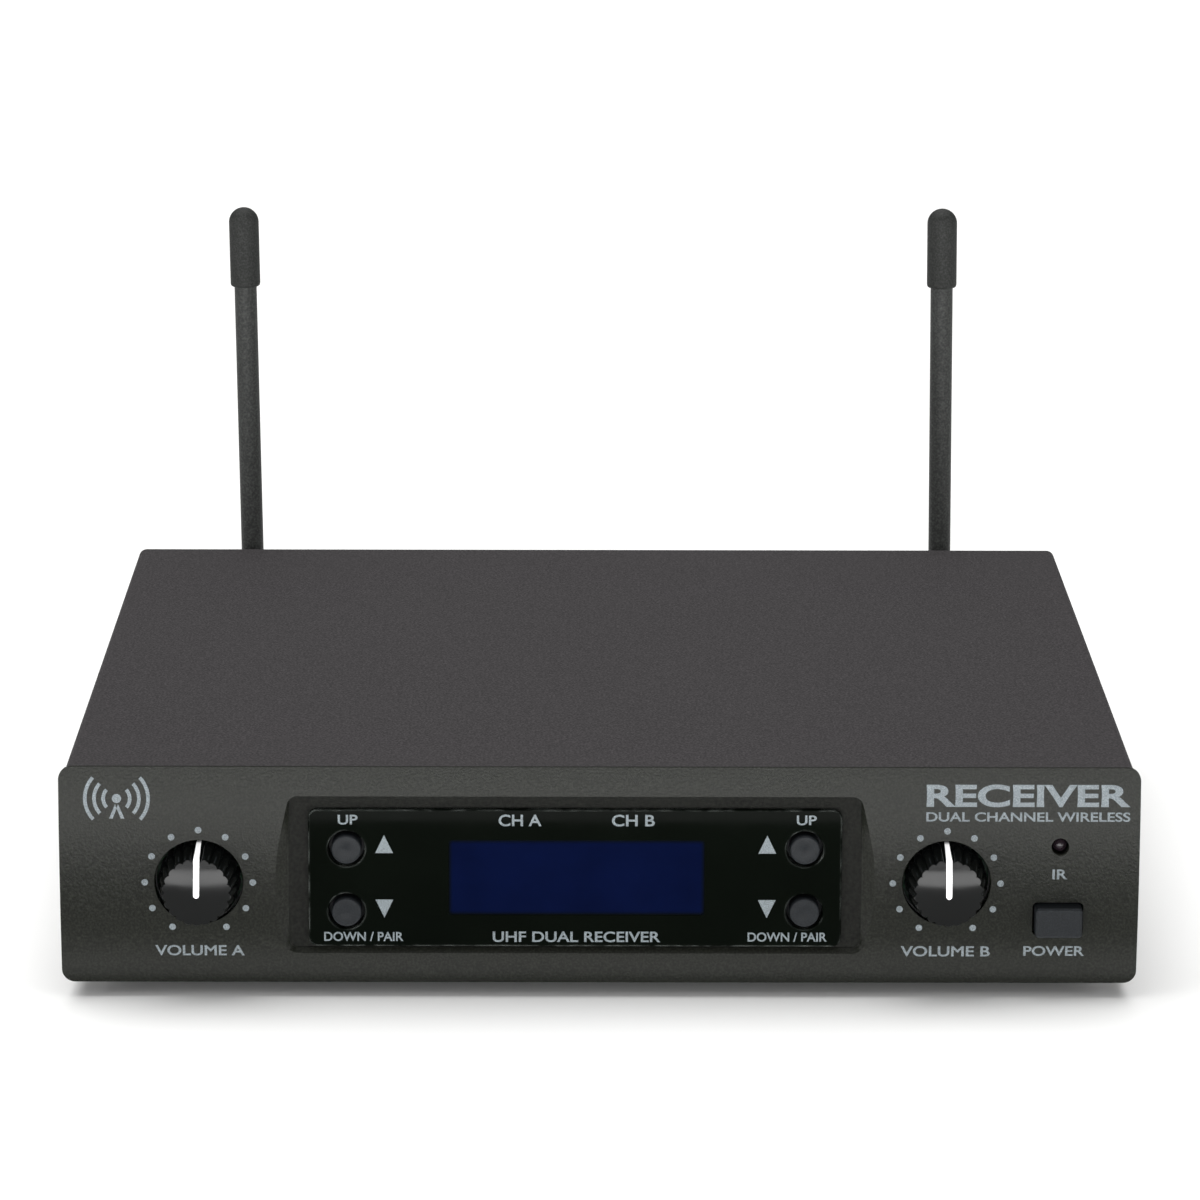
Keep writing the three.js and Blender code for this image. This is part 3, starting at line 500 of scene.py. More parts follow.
MATERIALS = {
    "cover_paint": moulded("cover_paint", linear(42, 40, 41), 0.65, 0.45, 0.06, 0.03, 0.3, 0.1),
    "panel_paint": panel_finish(),
    "chassis_paint": moulded("chassis_paint", linear(50, 50, 51), 0.5, 0.3, 0.012, 0.06, 0.5),
    "bare_steel": metal("bare_steel", linear(176, 178, 181), 0.34, (1, 0.06, 1)),
    "black_screw": moulded("black_screw", linear(30, 30, 32), 0.38, 0.4, 0.006, 0.15, 1.0),
    "smoked_acrylic": window_acrylic(),
    "key_plastic": moulded("key_plastic", linear(16, 18, 20), 0.42, 0.25, 0.006, 0.06, 0.5, 0.1),
    "knob_plastic": glossy("knob_plastic", linear(5, 6, 6), 0.13, 0.03, 0.16),
    "antenna_plastic": moulded("antenna_plastic", linear(39, 40, 39), 0.5, 0.5, 0.008, 0.08, 0.4, 0.16),
    "rubber": moulded("rubber", linear(30, 31, 30), 0.62, 0.4, 0.02, 0.08, 0.2, 0.16),
    "circuit_board": circuit_board(),
    "black_plastic": moulded("black_plastic", linear(28, 28, 28), 0.42, 0.5, 0.01, 0.1, 0.4),
    "display_glass": glossy("display_glass", linear(15, 27, 66), 0.08, 0.02),
    "sensor_resin": glossy("sensor_resin", linear(26, 20, 24), 0.06, 0.03),
    "nickel": metal("nickel", linear(200, 198, 192), 0.2, (1, 1, 1), 0.8, 0.002, 0.08),
    "ribbon_grey": ribbed_cable(),
    "coax_brown": moulded("coax_brown", linear(88, 60, 38), 0.45, 0.6, 0.01),
    "print_white": moulded("print_white", linear(76, 82, 85), 0.5, 0.2, 0.004, 0.05, 0.0),
    "pointer_white": moulded("pointer_white", linear(250, 250, 250), 0.4, 0.3, 0.003, 0.02, 0.0),
}

# ------------ camera, floor and lights

# The camera stands in front of and above the panel, a little to the left of its middle.
CAMERA_FROM_PANEL = Vector((-4.65, -1019.0, 325.37))
CAMERA_PITCH = radians(-13.645)
CAMERA_YAW = radians(0.2576)
CAMERA_ROLL = radians(0.1627)
LENS_LENGTH = 162.22


def add_camera():
    data = bpy.data.cameras.new("camera")
    data.lens = LENS_LENGTH
    data.sensor_width = 36
    data.clip_start = 0.05
    data.clip_end = 100
    camera = placed("camera", data)
    corner = Vector((PANEL_MID.x, FRONT, PANEL_LOW.z))
    camera.location = (corner + CAMERA_FROM_PANEL) * MM
    turn = Matrix.Rotation(-CAMERA_YAW, 3, "Z")
    tilt = Matrix.Rotation(pi / 2 + CAMERA_PITCH, 3, "X")
    roll = Matrix.Rotation(CAMERA_ROLL, 3, "Z")
    camera.rotation_euler = (turn @ tilt @ roll).to_euler()
    bpy.context.scene.camera = camera


def add_floor():
    bm = bmesh.new()
    bmesh.ops.create_grid(bm, x_segments=24, y_segments=24, size=9000)
    floor = made_object(bm)
    floor.name = "floor"
    s = Shader("floor", 0.6, specular=0.2)
    pale = linear(244, 244, 243)
    s.colour(s.mixed(s.patches(300, 3), tinted(pale, 0.99), pale))
    s.rough(60, 0.04)
    floor.data.materials.append(s.material)


def area_light(name, place, target, size, power):
    data = bpy.data.lights.new(name, "AREA")
    data.shape = "RECTANGLE"
    data.size, data.size_y = size
    data.energy = power
    light = placed(name, data)
    light.location = place
    aim = Vector(target) - Vector(place)
    light.rotation_euler = aim.to_track_quat("-Z", "Y").to_euler()


def add_lights():
    """Soft light overhead, two light tables lying in front, and boxes in front and on both sides."""
    sun = bpy.data.lights.new("overhead", "SUN")
    sun.energy = 3.4
    sun.angle = radians(70)
    placed("overhead", sun).rotation_euler = (radians(-12), radians(-6), 0)
    front = FRONT * MM
    area_light("light_table", (-0.03, front - 0.42, 0.002), (-0.03, front - 0.42, 1), (0.6, 0.6), 12)
    area_light("table_edge", (0, front - 0.012, 0.001), (0, front - 0.012, 1), (0.26, 0.014), 0.04)
    area_light("front_box", (0, -2.2, 0.36), (0, -0.1, 0.03), (1.8, 0.7), 16)
    for side in (-1, 1):
        area_light("side_box", (side * 1.2, -0.75, 0.4), (0, -0.05, 0.03), (0.6, 0.7), 6)
    world = bpy.data.worlds.new("studio")
    world.use_nodes = True
    background = world.node_tree.nodes["Background"].inputs
    background["Color"].default_value = (1, 1, 1, 1)
    background["Strength"].default_value = 0.2
    bpy.context.scene.world = world
    bpy.context.scene.view_settings.view_transform = "Standard"


# ------------ printed marks

PRINT_HEIGHT = 0.03
FONT_SIZE = 10.0


def printed(outline, face):
    """A closed outline of (x, z) points as a thin layer of ink on a face that looks towards -Y."""
    return loft([[(x, y, z) for x, z in outline] for y in around(face, PRINT_HEIGHT)])


def disc(x, z, radius, face, steps=32):
    turns = [2 * pi * i / steps for i in range(steps)]
    return printed([(x + radius * cos(t), z + radius * sin(t)) for t in turns], face)


def lettering(words, x, z, width, height, face, bold=0.018, rear=False):
    """Words as thin ink centred on (x, z), their capitals of the given height, in millimetres."""
    curve = bpy.data.curves.new("words", "FONT")
    curve.body = words
    curve.size = FONT_SIZE * MM
    curve.extrude = PRINT_HEIGHT * MM
    curve.bevel_depth = bold * FONT_SIZE * MM
    curve.bevel_resolution = 0
    text = placed("words", curve)
    graph = bpy.context.evaluated_depsgraph_get()
    mesh = bpy.data.meshes.new_from_object(text.evaluated_get(graph))
    bpy.data.objects.remove(text)
    low = Vector([min(v.co[i] for v in mesh.vertices) for i in range(3)])
    high = Vector([max(v.co[i] for v in mesh.vertices) for i in range(3)])
    centre = (low + high) / 2
    thin = 2 * PRINT_HEIGHT * MM / (high.z - low.z)
    grown = Matrix.Diagonal((width * MM / (high.x - low.x), height * MM / (high.y - low.y), thin, 1))
    turned = Matrix.Rotation(pi / 2, 4, "X")
    if rear:
        turned = Matrix.Rotation(pi, 4, "Z") @ turned
    settled = Matrix.Translation(Vector((x, face, z)) * MM)
    mesh.transform(settled @ turned @ grown @ Matrix.Translation(-centre))
    bm = bmesh.new()
    bm.from_mesh(mesh)
    bmesh.ops.remove_doubles(bm, verts=bm.verts, dist=1e-7)
    bmesh.ops.dissolve_degenerate(bm, edges=bm.edges, dist=1e-7)
    bm.to_mesh(mesh)
    bm.free()
    return placed("words", mesh)


def arc_band(x, z, radius, width, start, end, face, steps=16):
    """Part of a ring, between two angles in degrees."""
    turns = [radians(start + (end - start) * i / steps) for i in range(steps + 1)]
    outer = [(x + (radius + width / 2) * cos(t), z + (radius + width / 2) * sin(t)) for t in turns]
    inner = [(x + (radius - width / 2) * cos(t), z + (radius - width / 2) * sin(t)) for t in turns]
    return printed(outer + inner[::-1], face)


def radio_emblem(x, z, face):
    """A mast with radio waves on both sides of it."""
    marks = [disc(x, z, 0.9, face)]
    for radius in (2.6, 4.4, 6.2):
        marks.append(arc_band(x, z, radius, 0.7, -42, 42, face))
        marks.append(arc_band(x, z, radius, 0.7, 138, 222, face))
    foot = z - 4.0
    marks.append(printed([(x - 0.28, z - 1.1), (x - 1.5, foot), (x - 0.8, foot), (x, z - 2.0)], face))
    marks.append(printed([(x + 0.28, z - 1.1), (x, z - 2.0), (x + 0.8, foot), (x + 1.5, foot)], face))
    return marks


DIAL_RADIUS = 10.6
DIAL_DOT = 0.65
DIAL_DOTS = 11
DIAL_START, DIAL_STEP = -150, 30


def dial(x, z, face):
    """The ring of dots round a knob."""
    dots = []
    for i in range(DIAL_DOTS):
        angle = radians(DIAL_START + DIAL_STEP * i)
        dot_x, dot_z = x + DIAL_RADIUS * sin(angle), z + DIAL_RADIUS * cos(angle)
        dots.append(disc(dot_x, dot_z, DIAL_DOT, face))
    return dots


def triangle(x, base, apex, face, half=1.75):
    return printed([(x - half, base), (x + half, base), (x, apex)], face)


def panel_print():
    """Emblem, dials and words on the front panel, laid onto its bowed face."""
    marks = radio_emblem(PANEL_LOW.x + 11.4, PANEL_HIGH.z - 6.3, FRONT)
    for channel in CHANNELS:
        knob = middle("volume_shaft_" + channel)
        knob_z = middle("volume_pot_" + channel).z
        marks += dial(knob.x, knob_z, FRONT)
        marks.append(lettering("VOLUME " + channel.upper(), knob.x, knob_z - 14.1, 17.6, 2.2, FRONT))
    marks.append(lettering("POWER", POWER_MID.x - 0.6, POWER_MID.z - 6.7, 12.0, 2.1, FRONT))
    marks.append(lettering("IR", SENSOR_MID.x, SENSOR_MID.z - 5.6, 2.9, 2.0, FRONT))
    title_x = PANEL_HIGH.x - 22
    marks.append(lettering("RECEIVER", title_x, PANEL_HIGH.z - 5.5, 40, 4.5, FRONT, 0.03))
    marks.append(lettering("DUAL CHANNEL WIRELESS", title_x, PANEL_HIGH.z - 9.7, 40, 1.9, FRONT))
    ink = gather(marks)
    for vertex in ink.data.vertices:
        vertex.co.y += set_back(vertex.co.z / MM) * MM
    piece(ink, "panel_print", "print_white")


def lens_print():
    face = LENS_LOW.y
    marks = []
    for channel, inward in (("a", 1), ("b", -1)):
        up, down = middle("up_button_" + channel), middle("down_button_" + channel)
        arrow_x = up.x + inward * 7.4
        marks.append(triangle(arrow_x, up.z - 0.9, up.z + 2.8, face))
        marks.append(triangle(arrow_x, down.z + 2.4, down.z - 1.3, face))
        marks.append(lettering("UP", up.x + 0.3, up.z + 5.9, 3.9, 2.0, face))
        marks.append(lettering("DOWN / PAIR", down.x + inward * 3.3, down.z - 5.2, 15.6, 1.9, face))
        label_x = SCREEN_MID.x - inward * 11.1
        marks.append(lettering("CH " + channel.upper(), label_x, SCREEN_MID.z + 11.7, 8.4, 2.4, face))
    marks.append(lettering("UHF DUAL RECEIVER", SCREEN_MID.x, SCREEN_MID.z - 12.1, 33, 2.2, face))
    piece(gather(marks), "lens_print", "print_white")


def rear_print():
    """Words beside the connectors: each with its node, place beside the node's middle, and width."""
    labels = []
    for channel in CHANNELS:
        labels.append(("OUT " + channel.upper(), "output_socket_" + channel, -5, 15.2, 8))
        labels.append(("ANT " + channel.upper(), "antenna_nut_" + channel, 0, -10.2, 8))
    labels.append(("MIX OUT", "mix_output_nut", 0, 11, 11))
    labels.append(("DC IN", "power_inlet", 0, 9.2, 8))
    marks = []
    for words, node, right, up, width in labels:
        mid = middle(node)
        marks.append(lettering(words, mid.x + right, mid.z + up, width, 1.9, REAR, rear=True))
    piece(gather(marks), "rear_print", "print_white")


# ------------ front panel

PANEL_THICKNESS = 2.2
PANEL_CORNER = 2.6
RECESS_DEPTH = 1.6
RECESS_WALL = 2.2
KEY_HOLE = 3.6
KNOB_HOLE = 8.6
SENSOR_HOLE = 1.65
POWER_GAP = 0.35


def countersunk(radius, chamfer, face, centre, depth=6.0, count=96):
    """Cutter for a round hole with a small rounded mouth in a face that looks towards -Y."""
    steps = 4
    profile = [(0, face - 1), (radius + chamfer, face - 1), (radius + chamfer, face - 0.001)]
    for i in range(1, steps + 1):
        turn = pi / 2 * i / steps
        profile.append((radius + chamfer * (1 - sin(turn)), face + chamfer * (1 - cos(turn))))
    profile += [(radius, face + depth), (0, face + depth)]
    return lathe(profile, centre, "y", count)


def set_back(z):
    """How far the bowed front face of the panel lies behind its middle at a height."""
    return PANEL_BOW * (2 * (z - PANEL_LOW.z) / (PANEL_HIGH.z - PANEL_LOW.z) - 1) ** 2


def front_relief():
    """Cutter for the space in front of the bowed face."""
    steps, past = 56, 2
    low, high = PANEL_LOW.z, PANEL_HIGH.z
    heights = [low + (high - low) * i / steps for i in range(steps + 1)]
    section = [(FRONT - past, low - past), (FRONT + set_back(low), low - past)]
    section += [(FRONT + set_back(z), z) for z in heights]
    section += [(FRONT + set_back(high), high + past), (FRONT - past, high + past)]
    return loft([[(x, y, z) for y, z in section] for x in (PANEL_LOW.x - past, PANEL_HIGH.x + past)])


def recess_ring(depth):
    """Outline of the recess at a depth: towards the front its sides bow out and its floor slopes down."""
    left, right = LENS_LOW.x - 3.7, LENS_HIGH.x + 3.7
    bottom, top = LENS_LOW.z - 0.3, LENS_HIGH.z + 2.6
    spread = max(1 - max(depth, 0) / RECESS_DEPTH, 0)
    flare, slope = 3.0 * spread, 1.9 * spread
    corner_steps, side_steps = 6, 32
    base = rounded(left, right, bottom, top, 1.6, corner_steps)
    outline = []
    for (x, z), (next_x, next_z) in zip(base, base[1:] + base[:1]):
        upright = abs(next_z - z) > 5
        count = side_steps if upright else 1
        for k in range(count):
            outline.append((x + (next_x - x) * k / count, z + (next_z - z) * k / count))
    centre = (left + right) / 2
    ring = []
    for x, z in outline:
        t = (z - bottom) / (top - bottom)
        side = 1 if x > centre else -1
        bow = side * flare * max(sin(pi * min(max(t, 0), 1) ** 0.8), 0) ** 0.8
        ring.append((x + bow, FRONT + depth, z - slope * (1 - t)))
    return ring


def power_hole(gap):
    """Half width and half height of a hole that clears the power button by a gap."""
    return (POWER_HIGH.x - POWER_LOW.x) / 2 + gap, (POWER_HIGH.z - POWER_LOW.z) / 2 + gap


def front_panel():
    """Bowed moulding with a recess for the window, a thicker back behind it, and all of its holes."""
    low, high = PANEL_LOW, PANEL_HIGH
    shell = plate(low.x, high.x, low.z, high.z, PANEL_CORNER, FRONT, FRONT + PANEL_THICKNESS, 0, 0.2, 14)
    cut(shell, front_relief())
    bevel(shell, 0.5, 4, 60)
    backing = plate(
        LENS_LOW.x - 5.5, LENS_HIGH.x + 5.5, LENS_LOW.z - 2, LENS_HIGH.z + 4.4, 2,
        FRONT + PANEL_THICKNESS - 0.5, FRONT + RECESS_DEPTH + RECESS_WALL,
    )
    join(shell, backing)
    depths = [-1.0] + [RECESS_DEPTH * i / 6 for i in range(7)]
    tools = [loft([recess_ring(depth) for depth in depths])]
    through = (FRONT, FRONT + 6)
    half = SCREEN_HALF / MM
    tools.append(block(
        (SCREEN_MID.x - half.x - 1, SCREEN_MID.x + half.x + 1), through,
        (SCREEN_MID.z - half.y - 1, SCREEN_MID.z + half.y + 1),
    ))
    for channel in CHANNELS:
        tools.append(countersunk(KNOB_HOLE, 0.25, FRONT, xz(middle("volume_pot_" + channel)), count=128))
        for key in ("up", "down"):
            tools.append(rod(KEY_HOLE, FRONT + 1, FRONT + 6, xz(middle(f"{key}_button_{channel}"))))
    tools.append(countersunk(SENSOR_HOLE, 0.35, FRONT, xz(SENSOR_MID)))
    half_x, half_z = power_hole(POWER_GAP)
    sides = around(POWER_MID.x, half_x) + around(POWER_MID.z, half_z)
    tools.append(plate(*sides, 0.9, FRONT - 1, FRONT + 6))
    cut(shell, *tools)
    piece(shell, "panel_shell", "panel_paint", "front_panel")


def display_lens():
    low, high = LENS_LOW, LENS_HIGH
    lens = plate(low.x, high.x, low.z, high.z, 1.8, low.y, high.y, 0.28, 0.05, 12)
    half = SCREEN_HALF / MM
    pocket = 0.22
    sides = around(SCREEN_MID.x, half.x) + around(SCREEN_MID.z, half.y)
    tools = [plate(*sides, 1.0, low.y - 1, low.y + pocket, 0, 0.2, 8)]
    for _, _, node in KEYS:
        tools.append(countersunk(KEY_HOLE, 0.3, low.y, xz(middle(node)), 3))
    cut(lens, *tools)
    piece(lens, "lens_window", "smoked_acrylic", "display_lens")


KEY_RADIUS, KEY_EDGE = 2.93, 0.35
KEY_COLLAR, KEY_STEM = 4.2, 1.6
# Radius and depth of the points across the cap's slightly hollow front.
KEY_FRONT = [(0, 0.16), (0.16, 0.14), (0.26, 0.09), (1.6, 0.07), (2.5, 0)]


def keys():
    """Round caps, each with a collar behind the window and a stem to its switch."""
    edge = [(2.9 - KEY_EDGE * (1 - sin(t)), KEY_EDGE * (1 - cos(t))) for t in (0.5, 1.0, 1.5)]
    side = [(KEY_RADIUS, 2.5), (KEY_RADIUS, 4.5), (KEY_COLLAR, 4.5), (KEY_COLLAR, 5.5), (KEY_STEM, 5.5)]
    for key, channel, node in KEYS:
        low, high, mid = span(node)
        profile = [(radius, low.y + depth) for radius, depth in KEY_FRONT + edge + side]
        cap = lathe(profile + [(KEY_STEM, high.y), (0, high.y)], xz(mid))
        piece(cap, f"key_cap_{key}_{channel}", "key_plastic", node, body=f"key_{key}_{channel}")


def power_key():
    low, high, stem_half = POWER_LOW, POWER_HIGH, 1.5
    cap = plate(low.x, high.x, low.z, high.z, 0.8, low.y, FRONT + 3.6, 0.55, 0.1, 8)
    join(cap, block(around(POWER_MID.x, stem_half), (FRONT + 3, high.y), around(POWER_MID.z, stem_half)))
    piece(cap, "power_cap", "key_plastic", "power_button", body="power_key")


def sensor():
    low, high, mid = span("infrared_sensor")
    radius, base, base_front, steps = 1.5, 2.15, FRONT + 7, 8
    turns = [pi / 2 * i / steps for i in range(steps + 1)]
    profile = [(radius * sin(t), low.y + radius * (1 - cos(t))) for t in turns]
    profile += [(radius, base_front), (base, base_front), (base, high.y), (0, high.y)]
    piece(lathe(profile, xz(mid), "y", 64), "sensor_dome", "sensor_resin", "infrared_sensor")


# ------------ knobs

# Radius at the rim of the face and at the foot, and the Y at which the foot begins.
KNOB_FACE, KNOB_BASE = 6.8, 8.05
KNOB_FOOT = FRONT + 0.3
KNOB_CORE = 3.3
KNOB_LOBES = 22
KNOB_FLUTE = 0.45
KNOB_DOME = 0.6
POINTER_ANGLE = {"a": 0.8, "b": -0.6}


def knob_ring(mid, radius, height, flute=KNOB_FLUTE):
    """One ring of the grip: rounded lobes with sharp valleys, flute deep; height gives Y for a radius."""
    per_lobe = 12
    count = KNOB_LOBES * per_lobe
    ring = []
    for i in range(count):
        angle = 2 * pi * i / count
        swing = abs(sin(KNOB_LOBES * angle / 2)) ** 0.7
        r = radius - flute * (1 - swing)
        ring.append((mid.x + r * cos(angle), height(r), mid.z + r * sin(angle)))
    return ring


def knob_side(y, rim):
    """Radius of the knob's tapered side at a given Y."""
    taper = min(max((y - rim) / (KNOB_FOOT - rim), 0), 1)
    return KNOB_FACE + (KNOB_BASE - KNOB_FACE) * taper ** 1.15


def knob_face(radius, front):
    """Y of the domed face at a given radius."""
    return front + KNOB_DOME * (radius / (KNOB_FACE - 0.2)) ** 2


def knobs():
    """Fluted grips, domed in front and hollow behind, and their white pointers."""
    side_steps = 8
    for channel in CHANNELS:
        low, high, _ = span("volume_knob_" + channel)
        mid = middle("volume_pot_" + channel)
        rim = low.y + KNOB_DOME + 0.15

        def dome(radius):
            return knob_face(radius, low.y)

        rings = [knob_ring(mid, radius, dome, 0) for radius in (0.4, 1.6, 2.8, 4.0, 5.0, 5.7, 6.05)]
        rings.append(knob_ring(mid, KNOB_FACE - 0.14, dome))
        rings.append(knob_ring(mid, KNOB_FACE - 0.03, lambda radius: dome(radius) + 0.09))
        for step in range(side_steps + 1):
            y = rim + (KNOB_FOOT - rim) * step / side_steps
            rings.append(knob_ring(mid, knob_side(y, rim), lambda radius: y))
        rings.append(knob_ring(mid, KNOB_BASE, lambda radius: high.y))
        grip = cut(loft(rings), rod(KNOB_CORE, FRONT - 4.6, high.y + 1, xz(mid)))
        body, node = "knob_" + channel, "volume_knob_" + channel
        piece(grip, "knob_grip_" + channel, "knob_plastic", node, body=body, angle=30)
        line = pointer(mid, low.y, rim, POINTER_ANGLE[channel])
        piece(line, "knob_pointer_" + channel, "pointer_white", body=body)


def pointer(mid, front, rim, angle):
    """White line from the middle of the knob's face, over its rim and down its side."""
    half, narrow, proud, sunk = 0.57, 0.42, 0.06, 0.5
    path = [(r, knob_face(abs(r), front)) for r in (-0.4, 0.8, 2.0, 3.2, 4.4, 5.4, 6.2)]
    path += [(KNOB_FACE - 0.12, rim - 0.14), (KNOB_FACE, rim)]
    path += [(knob_side(y, rim), y) for y in (rim + (KNOB_FOOT - rim) * i / 6 for i in range(1, 7))]
    path.append((KNOB_BASE, FRONT + 2.0))
    rings = []
    for i, (radius, y) in enumerate(path):
        before, after = path[max(i - 1, 0)], path[min(i + 1, len(path) - 1)]
        along = Vector((after[0] - before[0], after[1] - before[1])).normalized()
        out = Vector((along.y, -along.x))
        top = Vector((radius, y)) + out * proud
        under = Vector((radius, y)) - out * sunk
        taper = max(y - rim, 0) / (FRONT + 2.0 - rim)
        width = half + (narrow - half) * taper
        corners = ((-width, under), (width, under), (width, top), (-width, top))
        rings.append([(x, corner.y, corner.x) for x, corner in corners])
    strip = loft(rings)
    start = path[0]
    tip = rod(half, start[1] - proud, start[1] + sunk, (0, start[0]), "y", 40)
    turned = Matrix.Translation((mid.x, 0, mid.z)) @ Matrix.Rotation(radians(angle), 4, "Y")
    return moved(join(strip, tip), turned)


# ------------ sheet-metal case

SHEET = 1.0


def top_cover():
    low, high, _ = span("top_cover")
    bend, steps = 1.8, 8

    def outline(inset):
        """The fold's outer line, or its inner line when inset by the sheet, from left to right."""
        half, top, radius = high.x - inset, high.z - inset, bend - inset
        points = [(low.x + inset, low.z)]
        for side in (-1, 1):
            for i in range(steps + 1)[::-side]:
                turn = pi / 2 * i / steps
                across = half - radius + radius * cos(turn)
                points.append((side * across, top - radius + radius * sin(turn)))
        return points + [(half, low.z)]

    section = outline(0) + outline(SHEET)[::-1]
    cover = loft([[(x, y, z) for x, z in section] for y in (low.y, high.y)])
    bevel(cover, 0.16, 2, 60)
    tools = []
    for _, _, mid in cover_screws().values():
        xs = (100, 108) if mid.x > 0 else (-108, -100)
        tools.append(rod(COVER_SCREW_HOLE, *xs, (mid.y, mid.z), "x"))
    cut(cover, *tools)
    piece(cover, "cover_shell", "cover_paint", "top_cover")


COVER_SCREW_HOLE = 2.95
SCREW_HEAD, SCREW_SHANK = 2.7, 1.4
CROSS_LENGTH, CROSS_WIDTH = 1.55, 0.32


def cover_screws():
    """Each cover screw's node with its corners and centre."""
    return {name: span(name) for name in frame["nodes"] if name.startswith("cover_screw_")}


def cover_screw(seat, drop, axis_point):
    """Countersunk cross-head screw along X, flush with seat; drop is the direction into the case."""
    head = [(0, 0), (SCREW_HEAD - 0.15, 0), (SCREW_HEAD, 0.12), (SCREW_HEAD, 0.3)]
    shank = [(SCREW_SHANK, 1.3), (SCREW_SHANK, 6), (0, 6)]
    profile = [(radius, seat + drop * depth) for radius, depth in head + shank]
    screw = lathe(profile, axis_point, "x", 64)
    y, z = axis_point
    xs = sorted((seat - drop, seat + drop * 0.9))
    return cut(
        screw,
        block(xs, around(y, CROSS_LENGTH), around(z, CROSS_WIDTH)),
        block(xs, around(y, CROSS_WIDTH), around(z, CROSS_LENGTH)),
    )


def socket_screw(low, high, mid):
    """Round-headed cross-head screw along Y."""
    crown = [(0, 0), (1.4, 0.05), (2.1, 0.3), (2.6, 0.9), (2.6, 1.5), (SCREW_SHANK, 1.5)]
    profile = [(radius, high.y - depth) for radius, depth in crown]
    screw = lathe(profile + [(SCREW_SHANK, low.y), (0, low.y)], xz(mid), "y", 64)
    ys, length = (high.y - 0.8, high.y + 1), 1.5
    return cut(
        screw,
        block(around(mid.x, length), ys, around(mid.z, CROSS_WIDTH)),
        block(around(mid.x, CROSS_WIDTH), ys, around(mid.z, length)),
    )


def screws():
    for name, (low, high, mid) in cover_screws().items():
        seat, drop = (high.x, -1) if mid.x > 0 else (low.x, 1)
        screw = cover_screw(seat, drop, (mid.y, mid.z))
        piece(screw, "screw_" + name.removeprefix("cover_screw_"), "black_screw", name)
    for channel in CHANNELS:
        node = "output_screw_" + channel
        piece(socket_screw(*span(node)), "socket_screw_" + channel, "black_screw", node)


FLANGE_HEIGHT = 15.6
ANTENNA_HOLE = 4.8
SOCKET_HOLE = 12
JACK_HOLE = 4.9


def chassis():
    """Tray of folded sheet: floor, front wall with its openings, and flanges for the cover's screws."""
    low, high, _ = span("chassis_tray")
    floor = block((low.x, high.x), (low.y, high.y), (low.z, low.z + SHEET))
    front = block((low.x, high.x), (low.y, low.y + SHEET), (low.z, high.z))
    tray_y, flange_z = (low.y, high.y), (low.z, low.z + FLANGE_HEIGHT)
    flanges = [block((x, x + SHEET), tray_y, flange_z) for x in (low.x, high.x - SHEET)]
    tray = join(floor, front, *flanges)
    bevel(tray, 0.12, 2, 60)
    ys = (low.y - 1, low.y + 2)
    tools = [block((LENS_LOW.x + 1.2, LENS_HIGH.x - 1.1), ys, (LENS_LOW.z + 0.4, LENS_HIGH.z))]
    for channel in CHANNELS:
        tools.append(rod(KNOB_HOLE, *ys, xz(middle("volume_pot_" + channel))))
    half_x, half_z = power_hole(0.8)
    tools.append(block(around(POWER_MID.x, half_x), ys, around(POWER_MID.z, half_z)))
    tools.append(rod(2.6, *ys, xz(SENSOR_MID)))
    for _, _, mid in cover_screws().values():
        xs = (low.x - 1, low.x + 2) if mid.x < 0 else (high.x - 2, high.x + 1)
        tools.append(rod(1.55, *xs, (mid.y, mid.z), "x", 40))
    cut(tray, *tools)
    piece(tray, "tray_sheet", "chassis_paint", "chassis_tray")


def rear_wall():
    """Painted rear sheet with the holes for its sockets, their screws, the inlet and the antennas."""
    low, high, _ = span("rear_panel")
    wall = plate(low.x, high.x, low.z, high.z, 0.4, low.y, high.y, 0.1, 0.15)
    ys = (low.y - 1, high.y + 1)
    tools = []
    for channel in CHANNELS:
        tools.append(rod(SOCKET_HOLE, *ys, xz(middle("output_socket_" + channel)), count=96))
        tools.append(rod(1.7, *ys, xz(middle("output_screw_" + channel)), count=40))
        tools.append(rod(ANTENNA_HOLE, *ys, xz(middle("antenna_nut_" + channel))))
    tools.append(rod(JACK_HOLE, *ys, xz(middle("mix_output_nut"))))
    inlet_low, inlet_high, _ = span("power_inlet")
    tools.append(block((inlet_low.x - 0.3, inlet_high.x + 0.3), ys, (inlet_low.z - 0.2, inlet_high.z + 0.3)))
    cut(wall, *tools)
    piece(wall, "rear_sheet", "chassis_paint", "rear_panel")


def feet():
    hollow = [(0, 1.4), (2.3, 1.4), (2.5, 1.2), (2.55, 0.2), (2.8, 0)]
    for name in [node for node in frame["nodes"] if node.startswith("foot_")]:
        low, high, mid = span(name)
        radius = (high.x - low.x) / 2
        edge = [(radius - 1.7, 0), (radius - 1.3, 0.06), (radius - 1.02, 0.3), (radius - 0.9, 0.7)]
        profile = [(r, low.z + height) for r, height in hollow + edge]
        profile += [(radius - 0.15, high.z - 0.3), (radius - 0.3, high.z), (0, high.z)]
        piece(lathe(profile, (mid.x, mid.y), "z"), "rubber_" + name, "rubber", name)


# ------------ rear connectors


SOCKET_BORE, SOCKET_NOSE = 9.4, 11.7
PIN_RADIUS, PIN_CIRCLE, PIN_LENGTH = 1.2, 4.2, 12


